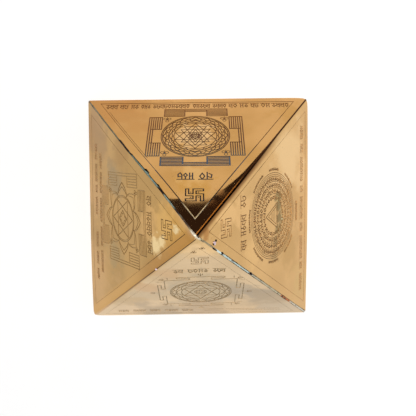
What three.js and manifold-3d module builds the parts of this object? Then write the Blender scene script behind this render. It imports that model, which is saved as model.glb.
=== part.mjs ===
// A vastu pyramid: a hollow square pyramid of etched sheet metal, open underneath.
// It is two folded sheets, each with two triangular faces, soldered together along two opposite hips.
// Millimetres, +Z up. The origin is at the middle of the open base, on the surface the pyramid stands on.
// +Y is north: the north and east faces are one folded sheet, the south and west faces are the other.
import * as THREE from "three";
import { mergeVertices } from "three/addons/utils/BufferGeometryUtils.js";
import Module from "manifold-3d";

const wasm = await Module();
wasm.setup();

// Driving dimensions of the pyramid.
const side = 101.6;
const height = 71.84;
const sheetThickness = 0.6;

// Outer radii of the two folds. The north-east one was bent more loosely than the south-west one.
const northEastFoldRadius = 3.4;
const southWestFoldRadius = 2.2;

// The soldered joints: the opening between the sheets' inner edges, and the room left round the solder.
const northWestRootGap = 0.3;
const southEastRootGap = 0.6;
const solderClearance = 0.08;
const filletLeg = 2;
const filletEdge = 0.2;
const filletSag = 0.4;
const solderCrown = 0.2;
const solderFootHeight = 0.5;

// The solder that closes the tip: how far it runs down each joint, and the small dome where the runs meet.
const tipSolderReach = 2.4;
const tipDomeRadius = 1.2;
const tipDomeDrop = 1.65;

// Engraved lines, and the triangle that borders each face.
const grooveWidth = 0.5;
const grooveDepth = 0.15;
const borderInset = 4.2;
const borderFoot = 2.6;

// The engraved figures are drawn for a face with this slant, and they grow and shrink with the face.
const artworkSlant = 88;

// The hooked cross near the top of each face.
const crossHeight = 67.4;
const crossSize = 6.6;

// The square frame with a gate in each side, round the figures of the north and west faces.
const frameInnerHalf = 14.8;
const frameOuterHalf = 20.4;
const frameBarLine = 1.6;
const frameCornerGap = 0.6;
const gateHalf = 4.9;

// The north figure: nine crossed triangles in a circle, and a wider circle.
const northCentre = 28.8;
const northCircles = [14.4, 9.4];

// The east figure: rings round a triangle.
const eastCentre = 32.2;
const eastCircles = [18.2, 16.7, 11.4, 9.2];
const eastTriangleRadius = 7.6;

// The south figure: rings round a six-pointed star, with lines above and below.
const southCentre = 31.2;
const southCircles = [13.1, 10.7];
const southStarRadius = 8.8;
const southLineHalf = 9.8;
const southLineRise = 18.2;

// The west figure: eight petals round a circle, with a six-pointed star in it.
const westCentre = 33.2;
const westCircle = 9.7;
const westPetalTip = 14.2;
const westStarRadius = 8.6;

// How finely curves are faceted, how far every cutter runs past what it cuts, and the least facet kept.
const foldSteps = 8;
const crownSteps = 4;
const domeSteps = 8;
const circleSteps = 28;
const overrun = 8;
const weldSize = 0.005;

const halfSide = side / 2;
const apex = new THREE.Vector3(0, 0, height);
const hipLength = Math.hypot(halfSide, halfSide, height);

// Outward normals of the four faces.
const slopeReach = Math.hypot(height, halfSide);
const faceNormals = {
  north: new THREE.Vector3(0, height / slopeReach, halfSide / slopeReach),
  east: new THREE.Vector3(height / slopeReach, 0, halfSide / slopeReach),
  south: new THREE.Vector3(0, -height / slopeReach, halfSide / slopeReach),
  west: new THREE.Vector3(-height / slopeReach, 0, halfSide / slopeReach),
};

// The axes of a hip: along runs up to the tip, outward halves the angle between its faces, and across makes
// up a right-handed set with them.
function hipAxes(signX, signY) {
  const corner = new THREE.Vector3(signX * halfSide, signY * halfSide, 0);
  const along = apex.clone().sub(corner).normalize();
  const across = new THREE.Vector3(signY, -signX, 0).normalize();
  const outward = new THREE.Vector3().crossVectors(along, across).normalize();
  return { corner, along, across, outward };
}

// Half of the angle inside the metal at a hip, which is the same at all four.
const northEastHip = hipAxes(1, 1);
const outwardLean = northEastHip.outward.dot(faceNormals.north);
const halfDihedral = Math.asin(outwardLean);
const faceAcross = Math.sin(halfDihedral);
const faceDrop = Math.cos(halfDihedral);

// How far both sheets are cut back from a sharp hip, so that their inner edges stand rootGap apart.
function cutBackFor(rootGap) {
  return (rootGap / 2 + sheetThickness * faceDrop) / faceAcross;
}

function solidOf(geometry) {
  const bare = geometry.clone();
  bare.deleteAttribute("normal");
  bare.deleteAttribute("uv");
  const merged = mergeVertices(bare);
  const vertProperties = merged.attributes.position.array;
  const triVerts = new Uint32Array(merged.index.array);
  return new wasm.Manifold(new wasm.Mesh({ numProp: 3, vertProperties, triVerts }));
}

// Facets that differ by less than weldSize are joined, so that crossing grooves leave no slivers.
function geometryOf(solid) {
  const mesh = solid.simplify(weldSize).getMesh();
  const geometry = new THREE.BufferGeometry();
  geometry.setAttribute("position", new THREE.BufferAttribute(mesh.vertProperties, 3));
  geometry.setIndex(new THREE.BufferAttribute(mesh.triVerts, 1));
  const flat = geometry.toNonIndexed();
  flat.computeVertexNormals();
  return flat;
}

// A block that covers everything on the side of a plane that its normal points to.
function blockBeyond(point, normal) {
  const size = 4 * (side + height);
  const geometry = new THREE.BoxGeometry(size, size, size);
  geometry.translate(0, 0, size / 2);
  const turn = new THREE.Quaternion().setFromUnitVectors(new THREE.Vector3(0, 0, 1), normal);
  geometry.applyQuaternion(turn);
  geometry.translate(point.x, point.y, point.z);
  return solidOf(geometry);
}

// Extrudes a profile, drawn across and outward, along a hip from past its corner to past the tip.
function alongHip(hip, shape, curveSteps) {
  const depth = hipLength + 2 * overrun;
  const options = { depth, bevelEnabled: false, curveSegments: curveSteps };
  const geometry = new THREE.ExtrudeGeometry(shape, options);
  geometry.translate(0, 0, -overrun);
  const frame = new THREE.Matrix4().makeBasis(hip.across, hip.outward, hip.along);
  frame.setPosition(hip.corner);
  geometry.applyMatrix4(frame);
  return solidOf(geometry);
}

// The profile of a folded sheet: two flats that leave the fold at the hip's own angle.
// grow thickens it on both sides, to make the room that the solder leaves round it.
function foldProfile(foldRadius, grow) {
  const reach = 2 * side;
  const centreDrop = foldRadius / faceAcross;
  const outerRadius = foldRadius + grow;
  const innerRadius = Math.max(foldRadius - sheetThickness, 0) - grow;
  const inside = sheetThickness + grow;
  const shape = new THREE.Shape();
  shape.moveTo(-reach * faceAcross - grow * faceDrop, -reach * faceDrop + grow * faceAcross);
  shape.absarc(0, -centreDrop, outerRadius, Math.PI - halfDihedral, halfDihedral, true);
  shape.lineTo(reach * faceAcross + grow * faceDrop, -reach * faceDrop + grow * faceAcross);
  shape.lineTo(reach * faceAcross - inside * faceDrop, -reach * faceDrop - inside * faceAcross);
  shape.absarc(0, -centreDrop, innerRadius, halfDihedral, Math.PI - halfDihedral, false);
  shape.lineTo(-reach * faceAcross + inside * faceDrop, -reach * faceDrop - inside * faceAcross);
  shape.closePath();
  return shape;
}

// The block that trims a face square to its surface along one of its hips.
function trimAt({ hip, cutBack }, normal, grow) {
  const outOfFace = new THREE.Vector3().crossVectors(hip.along, normal).normalize();
  const towardsFace = hip.across.clone().multiplyScalar(Math.sign(hip.across.dot(normal)));
  if (outOfFace.dot(towardsFace) > 0) outOfFace.negate();
  const start = hip.corner.clone().addScaledVector(outOfFace, grow - cutBack);
  return blockBeyond(start, outOfFace);
}

// A folded sheet: the fold runs up one hip, and the two free edges are trimmed at the soldered hips.
function foldedSheet(foldHip, foldRadius, trims, grow) {
  let solid = alongHip(foldHip, foldProfile(foldRadius, grow), foldSteps);
  for (const { joint, normal } of trims) {
    solid = solid.subtract(trimAt(joint, normal, grow));
  }
  const floor = new THREE.Vector3(0, 0, 0);
  return solid.subtract(blockBeyond(floor, new THREE.Vector3(0, 0, -1)));
}

const southWestHip = hipAxes(-1, -1);
const northWestJoint = { hip: hipAxes(-1, 1), cutBack: cutBackFor(northWestRootGap) };
const southEastJoint = { hip: hipAxes(1, -1), cutBack: cutBackFor(southEastRootGap) };

function northEastSheet(grow) {
  const trims = [
    { joint: northWestJoint, normal: faceNormals.north },
    { joint: southEastJoint, normal: faceNormals.east },
  ];
  return foldedSheet(northEastHip, northEastFoldRadius, trims, grow);
}

function southWestSheet(grow) {
  const trims = [
    { joint: northWestJoint, normal: faceNormals.west },
    { joint: southEastJoint, normal: faceNormals.south },
  ];
  return foldedSheet(southWestHip, southWestFoldRadius, trims, grow);
}

// A point of a solder profile, by its distance down the face from the hip and out from the face.
function besideHip(sideSign, down, out) {
  const x = down * faceAcross + out * faceDrop;
  const y = out * faceAcross - down * faceDrop;
  return new THREE.Vector2(sideSign * x, y);
}

// Solder fills the wedge between the cut edges, runs through the root and ends in a hollow fillet inside.
function solderProfile(cutBack) {
  const down = cutBack - solderClearance;
  const inside = -sheetThickness - solderClearance;
  const shoulder = besideHip(1, down, 0);
  const root = besideHip(1, down, inside);
  const toe = besideHip(1, cutBack + filletLeg, inside);
  const heel = besideHip(1, cutBack + filletLeg, inside - filletEdge);
  const shape = new THREE.Shape();
  shape.moveTo(shoulder.x, shoulder.y);
  shape.quadraticCurveTo(0, shoulder.y + 2 * solderCrown, -shoulder.x, shoulder.y);
  shape.lineTo(-root.x, root.y);
  shape.lineTo(-toe.x, toe.y);
  shape.lineTo(-heel.x, heel.y);
  shape.quadraticCurveTo(0, heel.y + 2 * filletSag, heel.x, heel.y);
  shape.lineTo(toe.x, toe.y);
  shape.lineTo(root.x, root.y);
  shape.closePath();
  return shape;
}

// The level direction that points from a hip's corner to the middle of the base.
function inwardsFrom(hip) {
  return new THREE.Vector3(-hip.corner.x, -hip.corner.y, 0).normalize();
}

// A run of solder up one joint, stopped short of the floor and of the solder at the tip.
function solderSeam({ hip, cutBack }) {
  const foot = new THREE.Vector3(0, 0, solderFootHeight);
  const inwards = inwardsFrom(hip);
  const top = inwards.clone().multiplyScalar(-tipSolderReach - solderClearance);
  return alongHip(hip, solderProfile(cutBack), crownSteps)
    .subtract(blockBeyond(foot, new THREE.Vector3(0, 0, -1)))
    .subtract(blockBeyond(top, inwards));
}

// The last stretch of solder on one joint, up to the middle of the tip.
function tipRun({ hip, cutBack }) {
  const inwards = inwardsFrom(hip);
  const start = inwards.clone().multiplyScalar(-tipSolderReach);
  return alongHip(hip, solderProfile(cutBack), crownSteps)
    .subtract(blockBeyond(start, inwards.clone().negate()))
    .subtract(blockBeyond(new THREE.Vector3(0, 0, 0), inwards));
}

// The solder of the tip fills what the two sheets leave open there, outside and inside.
function tipSolder() {
  const dome = new THREE.SphereGeometry(tipDomeRadius, domeSteps, domeSteps);
  dome.translate(0, 0, height - tipDomeDrop);
  return solidOf(dome)
    .add(tipRun(northWestJoint))
    .add(tipRun(southEastJoint))
    .subtract(northEastSheet(solderClearance))
    .subtract(southWestSheet(solderClearance));
}

const slant = Math.hypot(halfSide, height);
const spread = halfSide / slant;

// A length of the artwork as it comes out on this face.
function drawn(length) {
  return (length * slant) / artworkSlant;
}

// A straight engraved line between two points of a face: u runs along the base, v up the slant.
function stroke(from, to) {
  const length = Math.hypot(to[0] - from[0], to[1] - from[1]) + grooveWidth;
  const geometry = new THREE.BoxGeometry(length, grooveWidth, 2 * grooveDepth);
  geometry.rotateZ(Math.atan2(to[1] - from[1], to[0] - from[0]));
  geometry.translate((from[0] + to[0]) / 2, (from[1] + to[1]) / 2, 0);
  return geometry;
}

function strokes(points, closed) {
  const last = closed ? points.length : points.length - 1;
  const made = [];
  for (let i = 0; i < last; i += 1) {
    made.push(stroke(points[i], points[(i + 1) % points.length]));
  }
  return made;
}

// A point at an angle, in turns clockwise from straight up the face, and a distance from a centre.
function around(centre, radius, turns) {
  const angle = 2 * Math.PI * turns;
  return [radius * Math.sin(angle), centre + radius * Math.cos(angle)];
}

function circle(centre, radius) {
  const shape = new THREE.Shape();
  shape.absarc(0, centre, radius + grooveWidth / 2, 0, 2 * Math.PI, false);
  const hole = new THREE.Path();
  hole.absarc(0, centre, radius - grooveWidth / 2, 0, 2 * Math.PI, false);
  shape.holes.push(hole);
  const depth = 2 * grooveDepth;
  const options = { depth, bevelEnabled: false, curveSegments: circleSteps };
  const geometry = new THREE.ExtrudeGeometry(shape, options);
  geometry.translate(0, 0, -grooveDepth);
  return geometry;
}

// The points of a regular triangle in a circle, with its tip at the given turn.
function triangle(centre, radius, turns) {
  const corners = [turns, turns + 1 / 3, turns + 2 / 3];
  return strokes(corners.map((turn) => around(centre, radius, turn)), true);
}

function star(centre, radius) {
  return [...triangle(centre, radius, 0), ...triangle(centre, radius, 1 / 2)];
}

function border() {
  const inset = borderInset * Math.hypot(1, spread);
  const foot = halfSide - inset - borderFoot * spread;
  const top = (halfSide - inset) / spread;
  return strokes([[-foot, borderFoot], [foot, borderFoot], [0, top]], true);
}

// The hooked cross: two crossed arms, and at each end a hook that trails to the right of its arm.
function hookedCross() {
  const reach = (drawn(crossSize) - grooveWidth) / 2;
  const made = [];
  for (let quarter = 0; quarter < 4; quarter += 1) {
    const turn = quarter / 4;
    const end = around(0, reach, turn);
    const side = around(0, reach, turn + 1 / 4);
    const hook = [end[0] + side[0], end[1] + side[1]];
    const lifted = [[0, 0], end, hook].map(([u, v]) => [u, v + drawn(crossHeight)]);
    made.push(...strokes(lifted, false));
  }
  return made;
}

// One side of the gated frame and its three turned copies. Each side is a long bar with two blocks inside it,
// and the gate is the room between the blocks.
function gatedFrame(centre) {
  const inner = drawn(frameInnerHalf);
  const outer = drawn(frameOuterHalf);
  const gate = drawn(gateHalf);
  const line = outer - drawn(frameBarLine);
  const end = inner - drawn(frameCornerGap);
  const block = (end - gate) / 2;
  const parts = [
    { halfLength: end, middle: 0, low: line, high: outer },
    { halfLength: block, middle: gate + block, low: inner, high: line },
    { halfLength: block, middle: -gate - block, low: inner, high: line },
  ];
  const made = [];
  for (let quarter = 0; quarter < 4; quarter += 1) {
    for (const { halfLength, middle, low, high } of parts) {
      const geometry = new THREE.BoxGeometry(2 * halfLength, high - low, 2 * grooveDepth);
      geometry.translate(middle, (low + high) / 2, 0);
      geometry.rotateZ((quarter * Math.PI) / 2);
      geometry.translate(0, centre, 0);
      made.push(geometry);
    }
  }
  return made;
}

// The nine triangles stand on nine level lines. The circle's height is divided in 48 parts: each row has the
// part its line lies at, the parts rubbed out at both of its ends, and the part where its tip lies.
const heightShares = 48;
const triangleShares = [
  [6, 3, 27],
  [12, 5, 42],
  [17, 0, 48],
  [20, 16, 36],
  [23, 18, 30],
  [27, 16, 12],
  [30, 0, 0],
  [36, 4, 6],
  [42, 3, 17],
];

function nineTriangles(centre, radius) {
  const share = (2 * radius) / heightShares;
  const made = [];
  for (const [line, rubbed, tip] of triangleShares) {
    const rise = radius - line * share;
    const half = Math.sqrt(radius * radius - rise * rise) - rubbed * share;
    const corners = [[-half, centre + rise], [half, centre + rise], [0, centre + radius - tip * share]];
    made.push(...strokes(corners, true));
  }
  return made;
}

// Pointed petals: each is drawn from the circle out to its tip and back.
function petals(centre, innerRadius, tipRadius, count) {
  const points = [];
  for (let i = 0; i < count; i += 1) {
    points.push(around(centre, innerRadius, (i - 1 / 2) / count));
    points.push(around(centre, (innerRadius + tipRadius) / 2, (i - 3 / 8) / count));
    points.push(around(centre, tipRadius, i / count));
    points.push(around(centre, (innerRadius + tipRadius) / 2, (i + 3 / 8) / count));
  }
  return strokes(points, true);
}

function northFigure() {
  const centre = drawn(northCentre);
  const circles = northCircles.map((radius) => circle(centre, drawn(radius)));
  const triangles = nineTriangles(centre, drawn(Math.min(...northCircles)));
  return [...gatedFrame(centre), ...circles, ...triangles];
}

function eastFigure() {
  const centre = drawn(eastCentre);
  const circles = eastCircles.map((radius) => circle(centre, drawn(radius)));
  return [...circles, ...triangle(centre, drawn(eastTriangleRadius), 0)];
}

function southFigure() {
  const centre = drawn(southCentre);
  const half = drawn(southLineHalf);
  const rise = drawn(southLineRise);
  return [
    ...southCircles.map((radius) => circle(centre, drawn(radius))),
    ...star(centre, drawn(southStarRadius)),
    stroke([-half, centre + rise], [half, centre + rise]),
    stroke([-half, centre - rise], [half, centre - rise]),
  ];
}

function westFigure() {
  const centre = drawn(westCentre);
  return [
    ...gatedFrame(centre),
    ...petals(centre, drawn(westCircle), drawn(westPetalTip), 8),
    circle(centre, drawn(westCircle)),
    ...star(centre, drawn(westStarRadius)),
  ];
}

// All the engraving of one face, as one solid laid on its surface.
function engraving(normal, figure) {
  const level = new THREE.Vector3(normal.x, normal.y, 0).normalize();
  const up = level.clone().multiplyScalar(-halfSide);
  up.z = height;
  up.normalize();
  const right = new THREE.Vector3().crossVectors(up, normal);
  const place = new THREE.Matrix4().makeBasis(right, up, normal);
  place.setPosition(level.multiplyScalar(halfSide));
  const flat = wasm.Manifold.union([...border(), ...hookedCross(), ...figure].map(solidOf));
  const geometry = geometryOf(flat);
  geometry.applyMatrix4(place);
  return solidOf(geometry);
}

function etchedNorthEastSheet() {
  return northEastSheet(0)
    .subtract(engraving(faceNormals.north, northFigure()))
    .subtract(engraving(faceNormals.east, eastFigure()));
}

function etchedSouthWestSheet() {
  return southWestSheet(0)
    .subtract(engraving(faceNormals.south, southFigure()))
    .subtract(engraving(faceNormals.west, westFigure()));
}

const goldPlate = new THREE.MeshStandardMaterial({ color: "#d8a75c", roughness: 0.16, metalness: 1 });
const solderMetal = new THREE.MeshStandardMaterial({ color: "#a9adaa", roughness: 0.38, metalness: 1 });

function piece(name, solid, material) {
  const mesh = new THREE.Mesh(geometryOf(solid), material);
  mesh.name = name;
  return mesh;
}

const pyramid = new THREE.Group();
pyramid.add(piece("north_east_sheet", etchedNorthEastSheet(), goldPlate));
pyramid.add(piece("south_west_sheet", etchedSouthWestSheet(), goldPlate));
pyramid.add(piece("north_west_solder_seam", solderSeam(northWestJoint), solderMetal));
pyramid.add(piece("south_east_solder_seam", solderSeam(southEastJoint), solderMetal));
pyramid.add(piece("tip_solder", tipSolder(), solderMetal));

export default pyramid;
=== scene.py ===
# Dresses the vastu pyramid: two folded sheets of gold-plated metal with recessed etching, and their solder.
# Every length with no other unit in its name or comment is in millimetres. Meshes are written in metres.
import math
import random

import bmesh
import bpy
from mathutils import Euler, Matrix, Vector
from mathutils.geometry import delaunay_2d_cdt


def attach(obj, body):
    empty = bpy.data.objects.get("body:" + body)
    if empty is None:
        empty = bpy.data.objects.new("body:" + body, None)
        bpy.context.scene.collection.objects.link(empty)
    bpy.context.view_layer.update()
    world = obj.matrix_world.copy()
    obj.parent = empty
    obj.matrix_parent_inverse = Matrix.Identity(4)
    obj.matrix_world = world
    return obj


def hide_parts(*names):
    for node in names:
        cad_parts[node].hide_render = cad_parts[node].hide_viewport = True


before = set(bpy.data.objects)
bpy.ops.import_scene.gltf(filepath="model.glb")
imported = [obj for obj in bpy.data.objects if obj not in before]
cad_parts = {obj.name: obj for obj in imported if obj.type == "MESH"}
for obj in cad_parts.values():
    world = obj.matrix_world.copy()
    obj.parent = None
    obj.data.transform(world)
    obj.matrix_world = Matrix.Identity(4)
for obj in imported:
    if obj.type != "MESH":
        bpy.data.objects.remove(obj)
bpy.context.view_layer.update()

# The two sheets
# Thin brass sheet that was etched with acid, gold plated and folded once, so that each sheet has two of the
# four faces. Their cut edges meet along the other two hips, where solder holds them, and they stand on their
# lower edges. The sizes are those of the solids.
MM = 0.001
SIDE = 101.6
HEIGHT = 71.84
SHEET = 0.6
HALF = SIDE / 2
SLANT = math.hypot(HALF, HEIGHT)
HIP = math.hypot(HALF, SLANT)
STEEPNESS = HALF / HEIGHT
LEAN = HALF / SLANT
ROOT_2 = math.sqrt(2)
TURN = 2 * math.pi


class Face:
    """The plane of a face. Seen from outside, u runs right along the base, v up the slant and w outwards."""

    def __init__(self, level):
        self.level = Vector(level)
        self.normal = (self.level * HEIGHT + Vector((0, 0, HALF))) / SLANT
        self.up = (self.level * -HALF + Vector((0, 0, HEIGHT))) / SLANT
        self.right = self.up.cross(self.normal)

    def point(self, u, v, w=0.0):
        return (self.level * HALF + self.right * u + self.up * v + self.normal * w) * MM


NORTH, EAST, SOUTH, WEST = (Face(level) for level in ((0, 1, 0), (1, 0, 0), (0, -1, 0), (-1, 0, 0)))
LEFT, RIGHT = -1, 1


def beside_hip(sign, along, inward):
    """The point of a face at a distance up a hip, LEFT or RIGHT, and a distance in from it."""
    u = HALF - (along * HALF + inward * SLANT) / HIP
    return sign * u, (along * SLANT - inward * HALF) / HIP


def inward_of(sign, u, v):
    return (SLANT * (HALF - sign * u) - HALF * v) / HIP


# A fold is a heightfield on both of its faces. Its tilt falls off from the crease, first fast, as the bend
# itself, then slowly, where the sheet springs back. Each side has its own share of the fold's angle.
class FoldSide:
    STEP = 0.02
    LENGTH = 40.0

    def __init__(self, tilt_deg, core, tail_share, reach):
        count = int(self.LENGTH / self.STEP)
        slopes = []
        for i in range(count + 1):
            x = i * self.STEP
            share = (1 - tail_share) * math.exp(-((x / core) ** 2)) + tail_share * math.exp(-x / reach)
            slopes.append(math.tan(math.radians(tilt_deg) * share))
        self.sag = [0.0] * (count + 1)
        for i in range(count - 1, -1, -1):
            self.sag[i] = self.sag[i + 1] + self.STEP * (slopes[i] + slopes[i + 1]) / 2
        self.depth = self.sag[0]
        self.crease = 0.0

    def meet(self, other):
        """Sets how far in from the hip the crease lies on this side, so that both sides meet there."""
        both = (self.depth + other.depth) / ROOT_2
        self.crease = (both + ROOT_2 * (other.depth - self.depth)) / 2

    def height(self, inward):
        at = max(inward - self.crease, 0.0) / self.STEP
        i = int(at)
        if i >= len(self.sag) - 1:
            return 0.0
        return -(self.sag[i] + (self.sag[i + 1] - self.sag[i]) * (at - i))


def fold_pair(first, second):
    a, b = FoldSide(*first), FoldSide(*second)
    a.meet(b)
    b.meet(a)
    return a, b


# Both sides of each fold: its tilt in degrees, the bend's core, the share that springs back, and its reach.
NORTH_EAST = fold_pair((31.0, 0.45, 0.36, 2.2), (39.53, 0.5, 0.24, 1.9))
SOUTH_WEST = fold_pair((35.26, 0.6, 0.06, 2.5), (35.27, 0.6, 0.06, 2.5))


class FoldedEdge:
    """A side of a face where the sheet goes on round a fold."""

    droop = 0.0

    def __init__(self, sign, fold):
        self.sign = sign
        self.fold = fold
        self.crease = fold.crease

    def inset(self, along):
        return self.crease


class CutEdge:
    """A side of a face that was cut and soldered: how far in from the hip it lies, its notches as rows of
    low, high, inset at low and inset at high, how far it droops, and how far it wanders from its line."""

    WAVES, SLOWEST, FASTEST, LAST_PHASE, FAINTEST = 5, 0.15, 0.9, 6.28, 0.3
    fold = None
    crease = 0.0

    def __init__(self, sign, cut, notches, seed, droop=0.0, wander=0.1):
        self.sign = sign
        self.cut = cut
        self.notches = notches
        self.droop = droop
        self.wander = wander
        rng = random.Random(seed)
        self.waves = []
        for _ in range(self.WAVES):
            k = rng.uniform(self.SLOWEST, self.FASTEST)
            self.waves.append((k, rng.uniform(0, self.LAST_PHASE), rng.uniform(self.FAINTEST, 1.0)))

    def inset(self, along):
        total = sum(a for _, _, a in self.waves)
        wave = sum(a * math.sin(k * along + p) for k, p, a in self.waves) / total
        inset = self.cut + self.wander * wave
        for low, high, at_low, at_high in self.notches:
            if low <= along < high:
                inset += at_low + (at_high - at_low) * (along - low) / (high - low)
        return inset


class Panel:
    """One face of a sheet, with what bounds it on the left and the right. Thin hand-worked sheet is never
    quite flat: it ripples by a tenth of a millimetre or so, least near its edges, and may bow too."""

    RIPPLES, SHORTEST, LONGEST = 7, 18, 60
    CALM_AT_BASE, CALM_AT_EDGE = 6, 7
    DROOP_REACH, DROOP_END = 2.5, 2
    BOW_RISE, BOW_EDGE = 22, 2.5
    FOOT_TRIES = 6

    def __init__(self, face, left, right, ripple, bow, seed):
        self.face = face
        self.edges = {LEFT: left, RIGHT: right}
        self.bow = bow
        rng = random.Random(seed)
        self.ripples = []
        for _ in range(self.RIPPLES):
            length = rng.uniform(self.SHORTEST, self.LONGEST)
            heading = rng.uniform(0, math.pi)
            phase = rng.uniform(0, TURN)
            k = TURN / length
            height = ripple * length / self.LONGEST
            self.ripples.append((k * math.cos(heading), k * math.sin(heading), phase, height))

    def height(self, u, v):
        """How far the face stands out from its plane. On a fold's crease nothing but the fold counts."""
        inside = {}
        w = 0.0
        for sign, edge in self.edges.items():
            inward = inward_of(sign, u, v)
            inside[sign] = max(inward - edge.crease, 0.0)
            if edge.fold:
                w += edge.fold.height(inward)
        calm = 1 - math.exp(-((max(v, 0) / self.CALM_AT_BASE) ** 2))
        for sign, edge in self.edges.items():
            calm *= 1 - math.exp(-((inside[sign] / self.CALM_AT_EDGE) ** 2))
            droop = edge.droop * math.exp(-inside[sign] / self.DROOP_REACH)
            w -= droop * (1 - math.exp(-((inside[-sign] / self.DROOP_END) ** 2)))
        w += calm * sum(a * math.sin(ku * u + kv * v + t) for ku, kv, t, a in self.ripples)
        across = 1 - math.exp(-((min(inside.values()) / self.BOW_EDGE) ** 2))
        across *= max(0.0, 1 - (u / HALF) ** 2) ** 2
        return w + self.bow * across * math.exp(-((v / self.BOW_RISE) ** 2))

    def foot(self, u, deeper=0.0):
        """How far up the slant the face crosses the floor: deeper is for the inside of the sheet."""
        v = 0.0
        for _ in range(self.FOOT_TRIES):
            v = (deeper - self.height(u, v)) * STEEPNESS
        return v


def wall_of(edge, along, deeper=0.0):
    """A point on a side of a face. A fold's inside lies further in, so the sheet keeps its thickness."""
    return beside_hip(edge.sign, along, edge.inset(along) + (deeper / ROOT_2 if edge.fold else 0.0))


FOOT_TRIES, TOP_HALVINGS = 8, 50


def foot_along(panel, edge, deeper=0.0):
    """How far up a hip the side of a face crosses the floor."""
    along = 0.0
    for _ in range(FOOT_TRIES):
        rise = (deeper - panel.height(*wall_of(edge, along))) * STEEPNESS
        along += (rise - wall_of(edge, along, deeper)[1]) * HIP / SLANT
    return along


def top_along(panel, edge):
    """How far up one side of a face runs before it meets the other side."""
    other = panel.edges[-edge.sign]
    low, high = HIP / 2, HIP
    for _ in range(TOP_HALVINGS):
        middle = (low + high) / 2
        if inward_of(other.sign, *wall_of(edge, middle)) > other.inset(middle):
            low = middle
        else:
            high = middle
    return low


def spread_out(low, high, count):
    return [low + (high - low) * i / count for i in range(count + 1)]


FOLD_STEPS, CUT_STEPS, BASE_STEPS = 90, 150, 60
TIP_GAP = 0.05
INSIDE_TIP_DROP = 1.2


def outline_of(panel, top, deeper=0.0):
    """A face's closed outline: along the base, up the right side and down the left. Also its folded side."""
    rises = {}
    for sign, edge in panel.edges.items():
        high = (top if edge.fold else top_along(panel, edge) - TIP_GAP) - INSIDE_TIP_DROP * deeper
        levels = spread_out(foot_along(panel, edge, deeper), high, FOLD_STEPS if edge.fold else CUT_STEPS)
        rises[sign] = [wall_of(edge, along, deeper) for along in levels]
    left, right = rises[LEFT], rises[RIGHT]
    base = [(u, panel.foot(u, deeper)) for u in spread_out(left[0][0], right[0][0], BASE_STEPS)[1:-1]]
    folded = next(rises[sign] for sign, edge in panel.edges.items() if edge.fold)
    return [left[0], *base, *right, *left[:0:-1]], folded


# The etched artwork is made of ribbons: chains of four-sided pieces laid end to end along a path of (u, v)
# points. Long straight runs get more points, so that the artwork follows the swell of the face.
LONGEST_STEP = 2.0
SHARPEST_MITRE = 0.35
ARC_STEP = 0.9
FEWEST_SIDES = 12
PETAL_SWELL_SHARE = 0.52


def in_short_steps(points, closed):
    made = []
    for i, start in enumerate(points):
        made.append(start)
        if closed or i < len(points) - 1:
            end = points[(i + 1) % len(points)]
            steps = max(1, math.ceil(math.dist(start, end) / LONGEST_STEP))
            for k in range(1, steps):
                made.append(tuple(a + (b - a) * k / steps for a, b in zip(start, end)))
    return made


def ribbon(points, width, closed=False):
    points = in_short_steps(points, closed)
    count = len(points)
    half = width / 2
    sides = []
    for i, (x, y) in enumerate(points):
        before = points[i - 1] if closed or i else points[i]
        after = points[(i + 1) % count] if closed or i < count - 1 else points[i]
        a = math.atan2(y - before[1], x - before[0]) if before != (x, y) else None
        b = math.atan2(after[1] - y, after[0] - x) if after != (x, y) else None
        a = b if a is None else a
        b = a if b is None else b
        turn = math.atan2(math.sin(b - a), math.cos(b - a))
        heading = a + turn / 2
        reach = half / max(math.cos(turn / 2), SHARPEST_MITRE)
        nx, ny = -math.sin(heading) * reach, math.cos(heading) * reach
        if not closed and i in (0, count - 1):
            past = half if i else -half
            x, y = x + math.cos(heading) * past, y + math.sin(heading) * past
        sides.append(((x + nx, y + ny), (x - nx, y - ny)))
    made = []
    for i in range(count if closed else count - 1):
        (al, ar), (bl, br) = sides[i], sides[(i + 1) % count]
        made.append([ar, br, bl, al])
    return made


def polar(centre, radius, turns):
    """A point round a centre, by turns clockwise from straight up."""
    return centre[0] + radius * math.sin(TURN * turns), centre[1] + radius * math.cos(TURN * turns)


def polygon(centre, radius, sides, turns, width):
    return ribbon([polar(centre, radius, turns + i / sides) for i in range(sides)], width, True)


def ring(centre, radius, width):
    return polygon(centre, radius, max(FEWEST_SIDES, int(TURN * radius / ARC_STEP)), 0, width)


def dot(centre, radius, sides=8):
    return [[polar(centre, radius, -i / sides) for i in range(sides)]]


def bend(start, middle, end, steps=5):
    made = []
    for t in spread_out(0, 1, steps):
        shares = (1 - t) ** 2, 2 * t * (1 - t), t * t
        made.append(tuple(sum(s * c for s, c in zip(shares, ends)) for ends in zip(start, middle, end)))
    return made


def petals(centre, inner, outer, count, width, fullness=0.62, offset=0.0):
    made = []
    for i in range(count):
        at = (i + offset) / count
        for sign in (LEFT, RIGHT):
            start = polar(centre, inner, at + sign * 0.5 / count)
            widest = inner + (outer - inner) * fullness
            swell = polar(centre, widest, at + sign * PETAL_SWELL_SHARE / count)
            made += ribbon(bend(start, swell, polar(centre, outer, at)), width)
    return made


CROSS_ARM_SHARE = 0.085
CROSS_DOT_SHARE = 0.62
CROSS_DOT = 0.3


def hooked_cross(centre, size, width=0.32):
    """The outline of the hooked cross, with a dot between each two arms."""
    reach, arm = size / 2, size * CROSS_ARM_SHARE
    quarter = [(-arm, arm), (-arm, reach), (reach, reach), (reach, reach - 2 * arm), (arm, reach - 2 * arm)]
    points = []
    for _ in range(4):
        points += [(centre[0] + x, centre[1] + y) for x, y in quarter]
        quarter = [(y, -x) for x, y in quarter]
    made = ribbon(points, width, True)
    for i in range(4):
        made += dot(polar(centre, reach * CROSS_DOT_SHARE, (i + 0.5) / 4), CROSS_DOT)
    return made


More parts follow.
